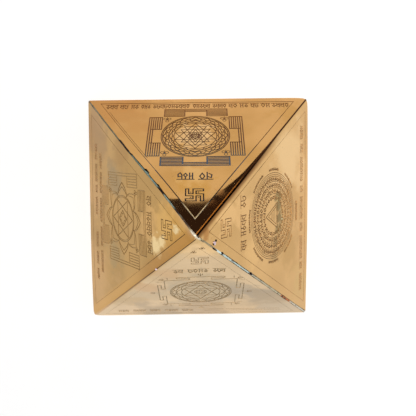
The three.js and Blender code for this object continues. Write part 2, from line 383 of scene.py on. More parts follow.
# The captions and the small rows hold a plain fringe in place of words: a bar with beads, leaves and hooks
# hung from it, in groups as long as the words were. Its shapes are drawn as shares of a square cell.
BAR_SHARE = 0.86
FRINGE_SHARES = {
    "leaf": [[(0.5, 0.86), (0.14, 0.48), (0.5, 0.1), (0.86, 0.48), (0.5, 0.86)]],
    "stem": [[(0.78, 0.86), (0.78, 0.0)], [(0.78, 0.5), (0.2, 0.66), (0.1, 0.3), (0.5, 0.16)]],
    "bead": [[(0.5, 0.86), (0.5, 0.56)], [(0.16, 0.34), (0.5, 0.56), (0.84, 0.34), (0.5, 0.1), (0.16, 0.34)]],
    "hook": [[(0.14, 0.86), (0.14, 0.3), (0.46, 0.04), (0.84, 0.22), (0.8, 0.56), (0.4, 0.5)]],
    "bars": [[(0.24, 0.86), (0.24, 0.06)], [(0.76, 0.86), (0.76, 0.06)], [(0.24, 0.4), (0.76, 0.5)]],
}
FRINGE_ORDER = ("stem", "hook", "bars", "leaf", "stem", "bead", "bars", "hook", "stem", "bead", "leaf")
NEXT_SHAPE, NEXT_PER_MM = 3, 7


def fringe(place, groups, size, width, barred=True, pitch_share=0.46):
    """Hangs the fringe from a path. place turns a distance along it and a height into (u, v)."""
    made = []
    for start, end in groups:
        count = max(1, round((end - start) / (size * pitch_share)))
        pitch = (end - start) / count
        if barred:
            stops = spread_out(start, end, max(1, int((end - start) / LONGEST_STEP)))
            made += ribbon([place(x, size * BAR_SHARE) for x in stops], width)
        for i in range(count):
            order = i * NEXT_SHAPE + int(abs(start) * NEXT_PER_MM)
            for path in FRINGE_SHARES[FRINGE_ORDER[order % len(FRINGE_ORDER)]]:
                made += ribbon([place(start + (i + x) * pitch, y * size) for x, y in path], width)
    return made


def level_row(v):
    return lambda x, y: (x, v + y)


def hung_row(v):
    """The fringe's top towards the base."""
    return lambda x, y: (-x, v - y)


def round_row(centre, radius):
    """Clockwise round a centre, with the fringe's top outwards."""
    return lambda x, y: polar(centre, radius + y, x / (TURN * radius))


BORDER_INSET = 4.2


def border(base, left, right, lean=0.0):
    """The line that runs round a face, inside its edges. The base has one width, and each side a list of
    pairs: a height up the face and the width above it."""
    reach = HALF - BORDER_INSET * HIP / SLANT
    foot = left[0][0]
    made = ribbon([(lean + sign * (reach - foot * LEAN), foot) for sign in (LEFT, RIGHT)], base)
    for sign, widths in ((LEFT, left), (RIGHT, right)):
        ends = [v for v, _ in widths[1:]] + [reach / LEAN]
        for (low, width), high in zip(widths, ends):
            made += ribbon([(lean + sign * (reach - v * LEAN), v) for v in (low, high)], width)
    return made


def turned(centre, turns, away=0.0):
    """Local x and y at a distance from a centre, in a heading given in turns clockwise from up."""
    c, s = math.cos(TURN * turns), math.sin(TURN * turns)
    return lambda x, y: (centre[0] + x * c + (y + away) * s, centre[1] - x * s + (y + away) * c)


BAR_END_GAP = 0.75


def gated_frame(centre, inner, lines, pitch, gate, widths, crossing=2):
    """Four bars of parallel lines round a square, each with a gate in its middle that only its outer lines
    cross. widths go clockwise from the top bar."""
    made = []
    full = inner - BAR_END_GAP
    outermost = inner + (lines - 1) * pitch
    for quarter, width in enumerate(widths):
        at = turned(centre, quarter / 4)
        for i in range(lines):
            y = inner + i * pitch
            if i >= lines - crossing:
                made += ribbon([at(-full, y), at(full, y)], width)
            else:
                for sign in (LEFT, RIGHT):
                    made += ribbon([at(sign * gate, y), at(sign * full, y)], width)
        for sign in (LEFT, RIGHT):
            made += ribbon([at(sign * gate, inner), at(sign * gate, outermost - pitch)], width)
            made += ribbon([at(sign * full, inner), at(sign * full, outermost)], width)
    return made


TREFOIL_DOT_SHARE, LEAF_PLACE_SHARE, LEAF_SHARE, STALK_SHARE = 0.16, 0.34, 0.22, 0.55


def trefoil(centre, size, width=0.26):
    made = dot(centre, size * TREFOIL_DOT_SHARE)
    for i in range(3):
        made += ring(polar(centre, size * LEAF_PLACE_SHARE, i / 3), size * LEAF_SHARE, width)
    return made + ribbon([centre, (centre[0], centre[1] - size * STALK_SHARE)], width)


def trident(place, shaft=0.3, tines=0.32):
    made = ribbon([place(0, -1.5), place(0, 1.5)], shaft)
    for sign in (LEFT, RIGHT):
        made += ribbon([place(sign * x, y) for x, y in ((0, -0.3), (0.8, 0.0), (0.85, 1.3))], tines)
    return made


# The nine crossed triangles stand on nine level lines. The circle's height has 48 parts: each row gives the
# part a line lies at, the parts left out at both of its ends, and the part where its triangle's tip lies.
NINE_SHARES = (
    (6, 3, 27), (12, 5, 42), (17, 0, 48), (20, 16, 36), (23, 18, 30),
    (27, 16, 12), (30, 0, 0), (36, 4, 6), (42, 3, 17),
)


def nine_triangles(centre, radius, width):
    share = radius / 24
    made = []
    for line, short, tip in NINE_SHARES:
        rise = radius - line * share
        half = math.sqrt(radius**2 - rise**2) - short * share
        tip_rise = radius - tip * share
        corners = [(centre[0] + x, centre[1] + y) for x, y in ((-half, rise), (half, rise), (0, tip_rise))]
        made += ribbon(corners, width, True)
    return made


def drawn_round(centre, rows):
    """What stands round one centre. Each row is a shape and its sizes, in the order that it takes them."""
    return [piece for shape, *sizes in rows for piece in shape(centre, *sizes)]


def north_art():
    centre = (0.6, 28.8)
    left = [(3.1, 0.24), (14, 0.3), (36, 0.38), (50, 0.44)]
    made = border(0.42, left, [(3.1, 0.18), (38, 0.26), (52, 0.44)], 0.3)
    made += ribbon([(45.3 - v * LEAN, v) for v in (10, 44)], 0.16)
    made += drawn_round(centre, (
        (gated_frame, 14.7, 7, 0.93, 4.9, (0.64, 0.48, 0.52, 0.48), 3), (ring, 14.5, 0.4), (ring, 13.9, 0.4),
        (petals, 11.6, 13.7, 16, 0.4), (petals, 11.6, 13.0, 16, 0.34, 0.62, 0.5), (ring, 11.4, 0.36),
        (petals, 9.3, 11.2, 8, 0.4), (petals, 9.3, 10.7, 8, 0.34, 0.62, 0.5), (ring, 9.1, 0.34),
        (nine_triangles, 8.9, 0.34)))
    made += drawn_round((0.6, 29.2), ((ring, 1.5, 0.34), (dot, 0.5)))
    for place in ((-12.0, 40.9), (13.1, 40.9), (-12.0, 16.6), (13.1, 16.6)):
        made += trefoil(place, 3.2)
    made += fringe(level_row(53.5), [(-6.4, -1.0), (0.9, 7.5)], 4.9, 0.52)
    made += hooked_cross((0.6, 66.8), 6.8, 0.52)
    words = [(-41.6, -36.2), (-35.2, -31.4), (-30.2, -26.6), (-25.6, -21.2), (-20.2, -3.4), (-2.0, 5.8),
             (7.0, 13.2), (14.2, 18.2), (19.2, 23.2), (24.2, 27.8), (28.8, 33.0), (33.8, 41.4)]
    return made + fringe(hung_row(7.6), words, 3.7, 0.4)


def east_art():
    centre = (0.1, 32.2)
    made = border(0.3, [(2.6, 0.14)], [(2.6, 0.12), (40, 0.2)])
    for radius, width in ((18.3, 0.24), (17.5, 0.24), (16.8, 0.24), (14.6, 0.2), (12.0, 0.2), (9.4, 0.2)):
        made += ring(centre, radius, width)
    for radius, size, crowding in ((14.9, 1.7, 1.0), (12.3, 2.0, 0.95), (9.7, 2.0, 0.95), (7.0, 2.0, 1.0)):
        made += fringe(round_row(centre, radius), [(0, TURN * radius)], size, 0.44, False, crowding)
    made += polygon(centre, 6.4, 3, 0, 0.34) + polygon(centre, 4.4, 3, 0, 0.28)
    for y, half in ((1.6, 1.0), (0.6, 1.6), (-0.4, 2.2)):
        made += ribbon([(centre[0] - half, centre[1] + y), (centre[0] + half, centre[1] + y)], 0.28)
    radius = 19.2
    arcs = []
    for at, half in (
            (0.0, 4.6), (0.135, 4.9), (0.25, 4.2), (0.37, 4.9), (0.63, 4.9), (0.75, 4.2), (0.865, 4.9)):
        arcs.append((at * TURN * radius - half, at * TURN * radius + half))
    made += fringe(round_row(centre, radius), arcs, 1.2, 0.3, False, 0.8)
    made += fringe(level_row(10.6), [(-4.4, 4.4)], 1.9, 0.32)
    made += fringe(level_row(54.3), [(-10.6, -6.6), (-5.0, 3.6), (6.0, 11.0)], 4.6, 0.4)
    made += hooked_cross((-0.1, 68.7), 6.8)
    words = [(-38, -30), (-28, -24.5), (-23, -12), (-10, -6), (-4.5, 6), (8, 11), (13, 24), (26, 30),
             (32, 38)]
    return made + fringe(level_row(4.9), words, 3.0, 0.34)


def west_art():
    centre = (0.1, 33.1)
    made = border(0.26, [(3.2, 0.12)], [(3.2, 0.1), (52, 0.3)])
    made += drawn_round(centre, (
        (gated_frame, 13.6, 6, 1.1, 4.6, (0.36, 0.36, 0.36, 0.36)), (petals, 9.8, 15.2, 8, 0.4, 0.5),
        (petals, 9.8, 13.4, 8, 0.3, 0.5), (ring, 9.7, 0.4), (ring, 9.1, 0.28), (polygon, 8.7, 3, 0, 0.4),
        (polygon, 8.7, 3, 0.5, 0.4), (polygon, 3.4, 4, 0, 0.36), (petals, 1.4, 2.7, 6, 0.28)))
    for i in range(4):
        made += trefoil(polar(centre, 16.2, (i + 0.5) / 4), 2.2)
    made += fringe(level_row(53.2), [(-11.0, -7.2), (-5.0, 4.2), (6.0, 11.2)], 4.2, 0.38)
    made += hooked_cross((0.2, 67.7), 6.9)
    first = [(-27, -20), (-18.5, -9), (-7, 4), (6, 15), (17, 27)]
    second = [(-31, -24), (-22, -14), (-12.5, -9), (-7, 1), (9, 16), (18, 24), (26, 31)]
    return made + fringe(level_row(11.0), first, 2.4, 0.34) + fringe(level_row(6.4), second, 2.4, 0.34)


def south_art():
    centre = (0.9, 31.2)
    outer, gate, inner = 18.2, 16.8, 15.2
    made = border(0.22, [(2.6, 0.08)], [(2.6, 0.1)])
    for quarter in range(4):
        at = turned(centre, quarter / 4)
        made += ribbon([at(-10, outer), at(10, outer)], 0.46)
        for sign in (LEFT, RIGHT):
            hooked = ((10, outer), (10, gate), (4.6, gate), (4.6, inner), (inner, inner))
            made += ribbon([at(sign * x, y) for x, y in hooked], 0.42)
            made += ribbon([at(sign * 13.8, 16.2), at(sign * 13.8, 18.4)], 0.3)
        made += trident(turned(centre, quarter / 4, 20.4))
        made += trident(turned(centre, (quarter + 0.5) / 4, 22.6))
    made += drawn_round(centre, (
        (ring, 13.2, 0.38), (ring, 12.6, 0.38), (ring, 10.7, 0.38), (petals, 10.8, 12.5, 16, 0.36),
        (petals, 8.4, 10.5, 8, 0.38), (ring, 8.3, 0.38), (polygon, 8.2, 3, 0, 0.4),
        (polygon, 8.2, 3, 0.5, 0.4), (ring, 2.6, 0.3), (petals, 0.8, 2.4, 6, 0.26)))
    made += fringe(level_row(54.3), [(-10.2, -6.0), (-4.2, 4.2), (6.0, 11.0)], 4.3, 0.46)
    made += hooked_cross((0.6, 66.8), 6.6)
    made += trefoil((1.4, 79.0), 2.0) + trefoil((-1.8, 75.6), 2.0)
    made += fringe(level_row(5.2), [(-38, -33), (-31, -25), (-23, -18), (-16, -10), (-8, -3)], 3.2, 0.34)
    return made + ribbon([(2, 7.6), (37, 7.6)], 0.3) + ribbon([(2, 5.6), (38, 5.6)], 0.3)


# The artwork is cut into a face: its outline, the ribbons and an even grid are joined into one set of
# triangles. Those inside a ribbon are sunk by the depth of the etching, and walls join them to the rest.
ETCH_DEPTH = 0.18
OUTSIDE_PITCH, INSIDE_PITCH = 3.0, 7.0
FOLD_ROWS = (0.2, 0.42, 0.68, 0.98, 1.35, 1.8, 2.4, 3.1, 4.2, 5.8, 8.0)
INSIDE_ROWS = (0.9, 1.5, 2.4, 3.9, 6.4)
GRID_CLEAR = 0.6
ROW_CLEAR = 0.5
OUTSIDE_FOOT, INSIDE_FOOT = 0.35, 1.2
CUT_PRECISION = 1e-5
SAME_POINTS_PER_M = 1e7


class Shell:
    """Collects the faces of one sheet. A vertex is shared wherever two of its points agree."""

    def __init__(self):
        self.places = {}
        self.points = []
        self.faces = []
        self.kinds = []
        self.flat = set()

    def vertex(self, point):
        key = tuple(round(c * SAME_POINTS_PER_M) for c in point)
        if key not in self.places:
            self.places[key] = len(self.points)
            self.points.append(tuple(point))
        return self.places[key]

    def face(self, points, kind, flat=False):
        corners = list(dict.fromkeys(self.vertex(point) for point in points))
        if len(corners) > 2:
            if flat:
                self.flat.add(len(self.faces))
            self.faces.append(corners)
            self.kinds.append(kind)


def grid_points(panel, pitch):
    """An even grid of points inside a face, clear of its edges and of the rows beside its fold."""
    made = []
    rows = int(SLANT / pitch)
    least = {}
    for sign, edge in panel.edges.items():
        least[sign] = FOLD_ROWS[-1] + 1 if edge.fold else edge.cut + GRID_CLEAR
    for j in range(1, rows + 1):
        for i in range(-rows, rows + 1):
            u, v = (i + (j % 2) / 2) * pitch, j * pitch
            clear = all(inward_of(sign, u, v) > least[sign] for sign in least)
            if clear and v > panel.foot(u) + GRID_CLEAR:
                made.append((u, v))
    return made


def fold_points(panel, top, rows, steps, foot):
    """Rows beside a fold, close where it bends most, whose points lie square across from the crease's."""
    made = []
    for sign, edge in panel.edges.items():
        if not edge.fold:
            continue
        least = max(panel.edges[-sign].cut, ROW_CLEAR) + ROW_CLEAR
        for row in rows:
            for along in spread_out(foot_along(panel, edge), top, steps):
                u, v = beside_hip(sign, along, edge.crease + row)
                if v > panel.foot(u) + foot and inward_of(-sign, u, v) > least:
                    made.append((u, v))
    return made


def triangles(outline, extra, ribbons):
    verts = [Vector(p) for p in outline]
    faces = [list(range(len(verts)))]
    for shape in ribbons:
        faces.append(list(range(len(verts), len(verts) + len(shape))))
        verts += [Vector(p) for p in shape]
    verts += [Vector(p) for p in extra]
    points, _, found, _, _, sources = delaunay_2d_cdt(verts, [], faces, 1, CUT_PRECISION, True)
    return points, [(face, len(set(source)) > 1) for face, source in zip(found, sources) if 0 in source]


def add_outside(shell, panel, top, outline, ribbons, plate, etched, wall):
    rows = fold_points(panel, top, FOLD_ROWS, FOLD_STEPS, OUTSIDE_FOOT)
    points, kept = triangles(outline, grid_points(panel, OUTSIDE_PITCH) + rows, ribbons)
    heights = [panel.height(p.x, p.y) for p in points]

    def place(i, sunk):
        return panel.face.point(points[i].x, points[i].y, heights[i] - (ETCH_DEPTH if sunk else 0.0))

    side = {}
    for face, sunk in kept:
        shell.face([place(i, sunk) for i in face], etched if sunk else plate)
        for a, b in zip(face, face[1:] + face[:1]):
            side[a, b] = sunk
    for (a, b), sunk in side.items():
        if sunk and side.get((b, a)) is False:
            shell.face([place(b, True), place(a, True), place(a, False), place(b, False)], wall, True)


def add_inside(shell, panel, top, outline, kind):
    """The inside of a face. Gives back what places a point there, which follows the fold from behind."""
    def place(u, v):
        behind = u, v
        for sign, edge in panel.edges.items():
            if edge.fold:
                inward = inward_of(sign, u, v)
                shift = max(inward - SHEET / ROOT_2, edge.crease) - inward
                behind = (u - sign * shift * SLANT / HIP, v - shift * HALF / HIP)
        return panel.face.point(u, v, panel.height(*behind) - SHEET)

    rows = fold_points(panel, top, INSIDE_ROWS, FOLD_STEPS // 2, INSIDE_FOOT)
    points, kept = triangles(outline, grid_points(panel, INSIDE_PITCH) + rows, [])
    for face, _ in kept:
        shell.face([place(points[i].x, points[i].y) for i in reversed(face)], kind)
    return place


def add_panel(shell, panel, ribbons, top, kinds):
    """One face of a sheet: outside, inside, the lower rim, the cut edge and the tip."""
    plate, etched, wall, inside, rim = kinds
    outline, folded = outline_of(panel, top)
    add_outside(shell, panel, top, outline, ribbons, plate, etched, wall)
    outline_in, _ = outline_of(panel, top, SHEET)
    inner = add_inside(shell, panel, top, outline_in, inside)

    def outer(u, v):
        return panel.face.point(u, v, panel.height(u, v))

    for i, a in enumerate(outline):
        j = (i + 1) % len(outline)
        b = outline[j]
        if not (a in folded and b in folded):
            shell.face([outer(*b), outer(*a), inner(*outline_in[i]), inner(*outline_in[j])], rim, True)


def colour(hexed):
    """Turns an sRGB hex colour to linear."""
    made = []
    for i in (0, 2, 4):
        c = int(hexed[i : i + 2], 16) / 255
        made.append(c / 12.92 if c <= 0.04045 else ((c + 0.055) / 1.055) ** 2.4)
    return (*made, 1.0)


def node(tree, kind, inputs=None, out=0, **settings):
    """Adds a node with its settings and gives back one output. Inputs are values, or sockets to link."""
    made = tree.nodes.new(kind)
    for name, value in settings.items():
        setattr(made, name, value)
    for name, value in (inputs or {}).items():
        if isinstance(value, bpy.types.NodeSocket):
            tree.links.new(value, made.inputs[name])
        else:
            made.inputs[name].default_value = value
    return made.outputs[out] if made.outputs else None


def blank_material(name):
    """A material with its node tree and the Object coordinates, which are metres on the object."""
    material = bpy.data.materials.new(name)
    material.use_nodes = True
    material.node_tree.nodes.clear()
    return material, material.node_tree, node(material.node_tree, "ShaderNodeTexCoord", None, "Object")


def as_metal(material, tree, tone, gloss, bump=None, metallic=1.0):
    looks = {"Base Color": tone, "Metallic": metallic, "Roughness": gloss}
    if bump is not None:
        looks["Normal"] = bump
    node(tree, "ShaderNodeOutputMaterial", {"Surface": node(tree, "ShaderNodeBsdfPrincipled", looks)})
    return material


def mottle(tree, coords, size_mm, low, high, least=0.0, most=1.0, detail=3.0):
    """Clouds about size_mm across, that go from least to most where their noise goes from low to high."""
    cloud = node(tree, "ShaderNodeTexNoise", {"Vector": coords, "Scale": 1000 / size_mm, "Detail": detail})
    limits = {"Value": cloud, "From Min": low, "From Max": high, "To Min": least, "To Max": most}
    return node(tree, "ShaderNodeMapRange", limits, interpolation_type="SMOOTHSTEP")


def roughened(tree, coords, size_mm, depth_mm, strength, detail):
    """A bump of noise, with lumps of a size and a depth."""
    lumps = node(tree, "ShaderNodeTexNoise", {"Vector": coords, "Scale": 1000 / size_mm, "Detail": detail})
    return node(tree, "ShaderNodeBump", {"Height": lumps, "Strength": strength, "Distance": depth_mm * MM})


def laid_over(tree, tone, hexed, inside, share=1.0):
    """A tone with a colour over it where inside is 1, as strong as share says."""
    strength = node(tree, "ShaderNodeMath", {0: inside, 1: share}, operation="MULTIPLY")
    return node(tree, "ShaderNodeMix", {0: strength, 6: tone, 7: colour(hexed)}, 2, data_type="RGBA")


def tones_by_height(tree, coords, tones):
    """Goes through colours by the height above the floor: tones are heights in mm and sRGB hex colours."""
    height = node(tree, "ShaderNodeSeparateXYZ", {0: coords}, "Z")
    share = node(tree, "ShaderNodeMath", {0: height, 1: HEIGHT * MM}, operation="DIVIDE")
    blend = node(tree, "ShaderNodeValToRGB", {"Fac": share})
    stops = blend.node.color_ramp.elements
    for i, (level, hexed) in enumerate(tones):
        stop = stops[i] if i < 2 else stops.new(1.0)
        stop.position = level / HEIGHT
        stop.color = colour(hexed)
    return blend


def beside_line(tree, coords, start, way, width_mm):
    """1 on a line, and 0 at half the width from it."""
    arm = node(tree, "ShaderNodeVectorMath", {0: coords, 1: start}, operation="SUBTRACT")
    square = node(tree, "ShaderNodeVectorMath", {0: arm, 1: way}, operation="CROSS_PRODUCT")
    away = node(tree, "ShaderNodeVectorMath", {0: square}, "Value", operation="LENGTH")
    limits = {"Value": away, "From Min": width_mm / 2 * MM, "From Max": width_mm / 4 * MM}
    return node(tree, "ShaderNodeMapRange", limits, interpolation_type="SMOOTHSTEP")


PATCH_CORE_SHARE = 0.35


def patch(tree, coords, centre, radius_mm, ragged_mm):
    """A soft-edged patch round a point of the object, 1 in its middle, broken up by noise."""
    away = node(tree, "ShaderNodeVectorMath", {0: coords, 1: centre}, "Value", operation="DISTANCE")
    rough = mottle(tree, coords, ragged_mm, low=0.25, high=0.75, least=0.55, most=1.45)
    torn = node(tree, "ShaderNodeMath", {0: away, 1: rough}, operation="MULTIPLY")
    limits = {"Value": torn, "From Min": radius_mm * MM, "From Max": radius_mm * PATCH_CORE_SHARE * MM}
    return node(tree, "ShaderNodeMapRange", limits, interpolation_type="SMOOTHSTEP")


DUST_PITCH_MM, DUST_EDGE, DUST_CORE = 1.7, 0.13, 0.07
DUST_SHARE, DUST_DULLNESS = 0.35, 0.45
CREASE_LINE_DULLNESS = 0.35


def gold_plate(name, gold, cloudy, cloud_share, fold, tone_patches):
    """Polished gold plate on thin brass. Polishing leaves it a near mirror, so the eye sees the room in it,
    dulled a little by clouds, dust and dents. The dust is drawn coarser than it is, or it wouldn't show.
    Patches of tone are laid over the gold, most of them painted light. Along a fold lie bands of painted
    light: painted shade and painted reflection beside the crease, and in the crease painted shade as dark
    lines and painted highlight as bright ones: each band has a width in mm, a colour, a share, and the
    heights where it is full and gone."""
    material, tree, coords = blank_material(name)
    clouds = mottle(tree, coords, 22.0, low=0.35, high=0.7, most=cloud_share, detail=2.0)
    tone = laid_over(tree, colour(gold), cloudy, clouds)
    gloss = mottle(tree, coords, 6.0, low=0.3, high=0.8, least=0.035, most=0.09)
    for centre, radius, ragged, hexed, share, dull in tone_patches:
        inside = patch(tree, coords, centre, radius, ragged)
        tone = laid_over(tree, tone, hexed, inside, share)
        gloss = node(tree, "ShaderNodeMath", {0: inside, 1: dull, 2: gloss}, operation="MULTIPLY_ADD")
    cells = {"Vector": coords, "Scale": 1000 / DUST_PITCH_MM}
    away = node(tree, "ShaderNodeTexVoronoi", cells, "Distance")
    limits = {"Value": away, "From Min": DUST_EDGE, "From Max": DUST_CORE}
    speck = node(tree, "ShaderNodeMapRange", limits, interpolation_type="SMOOTHSTEP")
    dusty = mottle(tree, coords, 5.0, low=0.45, high=0.6, most=0.7)
    speck = node(tree, "ShaderNodeMath", {0: speck, 1: dusty}, operation="MULTIPLY")
    tone = laid_over(tree, tone, "8A6A42", speck, DUST_SHARE)
    gloss = node(tree, "ShaderNodeMath", {0: speck, 1: DUST_DULLNESS, 2: gloss}, operation="MULTIPLY_ADD")
    # The bands of painted shade and painted highlight along the fold.
    start, way, bands = fold
    height = node(tree, "ShaderNodeSeparateXYZ", {0: coords}, "Z")
    for width, hexed, share, full, none in bands:
        limits = {"Value": height, "From Min": none * MM, "From Max": full * MM, "To Max": share}
        rise = node(tree, "ShaderNodeMapRange", limits, interpolation_type="SMOOTHSTEP")
        near = beside_line(tree, coords, start, way, width)
        line = node(tree, "ShaderNodeMath", {0: near, 1: rise}, operation="MULTIPLY")
        tone = laid_over(tree, tone, hexed, line)
        dull = CREASE_LINE_DULLNESS if width < 1 else 0.0
        gloss = node(tree, "ShaderNodeMath", {0: line, 1: dull, 2: gloss}, operation="MULTIPLY_ADD")
    dents = roughened(tree, coords, 5.0, depth_mm=0.006, strength=0.5, detail=2.0)
    return as_metal(material, tree, tone, gloss, dents)


def etched_gold(name, tones, grain_hex="5A3A20", share=0.25, grain_mm=0.7, dull=0.5):
    """Acid-etched metal under the plating, in the floor and walls of the etched lines. The acid bit it rough,
    so it is matte and takes no reflections. Its colour goes by height and differs from face to face as
    painted light
    and shade: each of the tones is a height in mm and a colour, paler where the lines catch light and darker
    where they lie in shade. Grains of another colour break it up. The grain that acid leaves is too fine to
    show in a picture of the whole face, so it is drawn coarser."""
    material, tree, coords = blank_material(name)
    tone = tones_by_height(tree, coords, tones)
    grains = mottle(tree, coords, grain_mm, low=0.42, high=0.62, most=share, detail=4.0)
    tone = laid_over(tree, tone, grain_hex, grains)
    gloss = mottle(tree, coords, 0.5, low=0.3, high=0.7, least=dull * 0.8, most=dull * 1.2)
    pits = roughened(tree, coords, grain_mm, depth_mm=0.03, strength=0.5, detail=4.0)
    return as_metal(material, tree, tone, gloss, pits, metallic=0.85)


def rolled_brass():
    """Rolled brass on the inside, never polished: dull clouded brown with faint lines from the rollers, which
    are drawn coarser than they are, to show."""
    material, tree, coords = blank_material("rolled_brass")
    clouds = mottle(tree, coords, 14.0, low=0.35, high=0.7, detail=5.0)
    drawn_out = node(tree, "ShaderNodeMapping", {"Vector": coords, "Scale": (1, 1, 0.05)})
    lines = roughened(tree, drawn_out, 0.8, depth_mm=0.05, strength=0.2, detail=3.0)
    return as_metal(material, tree, laid_over(tree, colour("B08C4E"), "8C6B3C", clouds), 0.42, lines)


def sheared_brass():
    """Brass sheared to size and browned by the soldering, so that the cut edges read as dark lines."""
    material, tree, coords = blank_material("sheared_brass")
    tone = laid_over(tree, colour("2C1A0E"), "5E3C1C", mottle(tree, coords, 2.0, low=0.35, high=0.7))
    return as_metal(material, tree, tone, 0.4)


# Three of the lower corners were knocked a little out of square: each row gives a corner, how far it moved,
# and how far from it the sheet moved with it. The south-west corner was knocked twice. The north-west seam
# also bulges a little to the north-east, most at two thirds of the height.
KNOCKS = (((-1, 1), (1.15, -0.1), 90.0), ((1, -1), (-0.1, 0.2), 46.0), ((-1, -1), (-0.6, 0.0), 80.0),
          ((-1, -1), (0.1, 0.3), 30.0))
BULGE = 0.42
BULGE_MIDDLE, BULGE_LENGTH, BULGE_REACH = 49.0, 16.0, 9.0
BULGE_FADE = 4.0


def knocked(points):
    """Moves points with the lower corner and the seam that they are near, less with the distance."""
    moved = []
    for point in points:
        x, y, z = (c / MM for c in point)
        dx = dy = 0.0
        for (cx, cy), (mx, my), reach in KNOCKS:
            share = max(0.0, 1 - math.dist((x, y, z), (cx * HALF, cy * HALF, 0)) / reach) ** 2
            dx += mx * share
            dy += my * share
        if x < y:
            beside = (x + y) / ROOT_2 / BULGE_REACH
            bulge = BULGE * math.exp(-(beside**2) - ((z - BULGE_MIDDLE) / BULGE_LENGTH) ** 2) / ROOT_2
            dx += bulge * min(1.0, (y - x) / BULGE_FADE)
            dy += bulge * min(1.0, (y - x) / BULGE_FADE)
        moved.append(((x + dx) * MM, (y + dy) * MM, max(z, 0.0) * MM))
    return moved


# The south-west fold runs a little out of line with its hip, to the south-east of it and most at the top.
DRIFT_LOW, DRIFT_HIGH = 0.47, 1.31
DRIFT_REACH = 14.0
SEAM_CLEAR, SEAM_FADE = 0.3, 1.6
SOUTH_EASTWARD = Vector((1, -1, 0)).normalized()


def drifted(points):
    """Moves the points beside the south-west fold, less with the distance from it and near the seams."""
    moved = []
    for x, y, z in points:
        beside = (x - y) / ROOT_2 / MM / DRIFT_REACH
        clear = min(1.0, max(0.0, -(x + y) / ROOT_2 / MM - SEAM_CLEAR) / SEAM_FADE)
        drift = DRIFT_LOW + (DRIFT_HIGH - DRIFT_LOW) * z / (HEIGHT * MM)
        shift = SOUTH_EASTWARD * (drift * math.exp(-(beside**2)) * clear * MM)
        moved.append((x + shift.x, y + shift.y, z))
    return moved


def new_object(name, data):
    obj = bpy.data.objects.new(name, data)
    bpy.context.scene.collection.objects.link(obj)
    return obj


SAME_PLACE_M = 2e-7


def finish_mesh(name, points, faces, kinds, flat, materials):
    mesh = bpy.data.meshes.new(name)
    mesh.from_pydata(points, [], faces)
    for material in materials:
        mesh.materials.append(material)
    mesh.polygons.foreach_set("material_index", kinds)
    mesh.polygons.foreach_set("use_smooth", [i not in flat for i in range(len(faces))])
    joined = bmesh.new()
    joined.from_mesh(mesh)
    bmesh.ops.remove_doubles(joined, verts=joined.verts, dist=SAME_PLACE_M)
    joined.to_mesh(mesh)
    joined.free()
    mesh.validate()
    mesh.update()
    return new_object(name, mesh)


def put_in(obj, solid):
    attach(obj, "root")
    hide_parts(solid)


SHARP_DEG = 28


def make_sheet(name, solid, panels, arts, materials, drifts=False):
    """Joins two panels into one sheet. The materials are two plates, two etched floors, two walls, the inside
    and the cut edges."""
    shell = Shell()
    tops = [top_along(panel, edge) for panel in panels for edge in panel.edges.values() if edge.fold]
    top = min(tops) - TIP_GAP
    for i, (panel, art) in enumerate(zip(panels, arts)):
        add_panel(shell, panel, art, top, (i, 2 + i, 4 + i, 6, 7))
    points = knocked(shell.points)
    if drifts:
        points = drifted(points)
    obj = finish_mesh(name, points, shell.faces, shell.kinds, shell.flat, materials)
    obj.data.set_sharp_from_angle(angle=math.radians(SHARP_DEG))
    put_in(obj, solid)


NORTH_WEST_CUT, SOUTH_EAST_CUT = 0.4, 0.66
NOTCHES = ((36.3, 45.7, 0.22, 0.12), (47.3, 59.9, 0.18, 0.3), (59.9, 62.8, 0.85, 0.75),
           (62.8, 70, 0.2, 0.28), (70, 71.8, 0.4, 0.75), (71.8, 84, 0.5, 0.22))
CLOSED_TOP = ((84, 102, -0.32, -0.195),)
north_cut = CutEdge(RIGHT, NORTH_WEST_CUT, NOTCHES, seed=3, droop=0.045)
east_cut = CutEdge(LEFT, SOUTH_EAST_CUT, CLOSED_TOP, seed=4)
south_cut = CutEdge(RIGHT, SOUTH_EAST_CUT, CLOSED_TOP, seed=5)
west_cut = CutEdge(LEFT, NORTH_WEST_CUT, (), seed=6)
north_panel = Panel(NORTH, FoldedEdge(LEFT, NORTH_EAST[0]), north_cut, ripple=0.016, bow=0.0, seed=11)
east_panel = Panel(EAST, east_cut, FoldedEdge(RIGHT, NORTH_EAST[1]), ripple=0.04, bow=0.3, seed=12)
south_panel = Panel(SOUTH, FoldedEdge(LEFT, SOUTH_WEST[0]), south_cut, ripple=0.05, bow=0.0, seed=13)
west_panel = Panel(WEST, west_cut, FoldedEdge(RIGHT, SOUTH_WEST[1]), ripple=0.05, bow=0.0, seed=14)


def crease_of(face, fold, bands, drift=(0, 0)):
    """A point on a fold on the left of a face, the way that the fold runs, and the bands along it."""
    ends = []
    for along, away in zip((0, HIP), drift):
        end = face.point(*beside_hip(LEFT, along, fold.crease), -fold.depth)
        ends.append(end + SOUTH_EASTWARD * away * MM)
    return ends[0], (ends[1] - ends[0]).normalized(), bands


def tone_patches_on(face, rows):
    """Patches of tone on the plating: u, v, radius, raggedness, colour, share and extra dullness. Most of
    them are painted light: lighter and darker patches where a face mirrors brighter and darker surroundings,
    and small pale spots that are painted highlights. The olive patches in the east circle and the small
    orange spots by the north cross are darker marks.
    """
    return [(face.point(u, v), *rest) for u, v, *rest in rows]
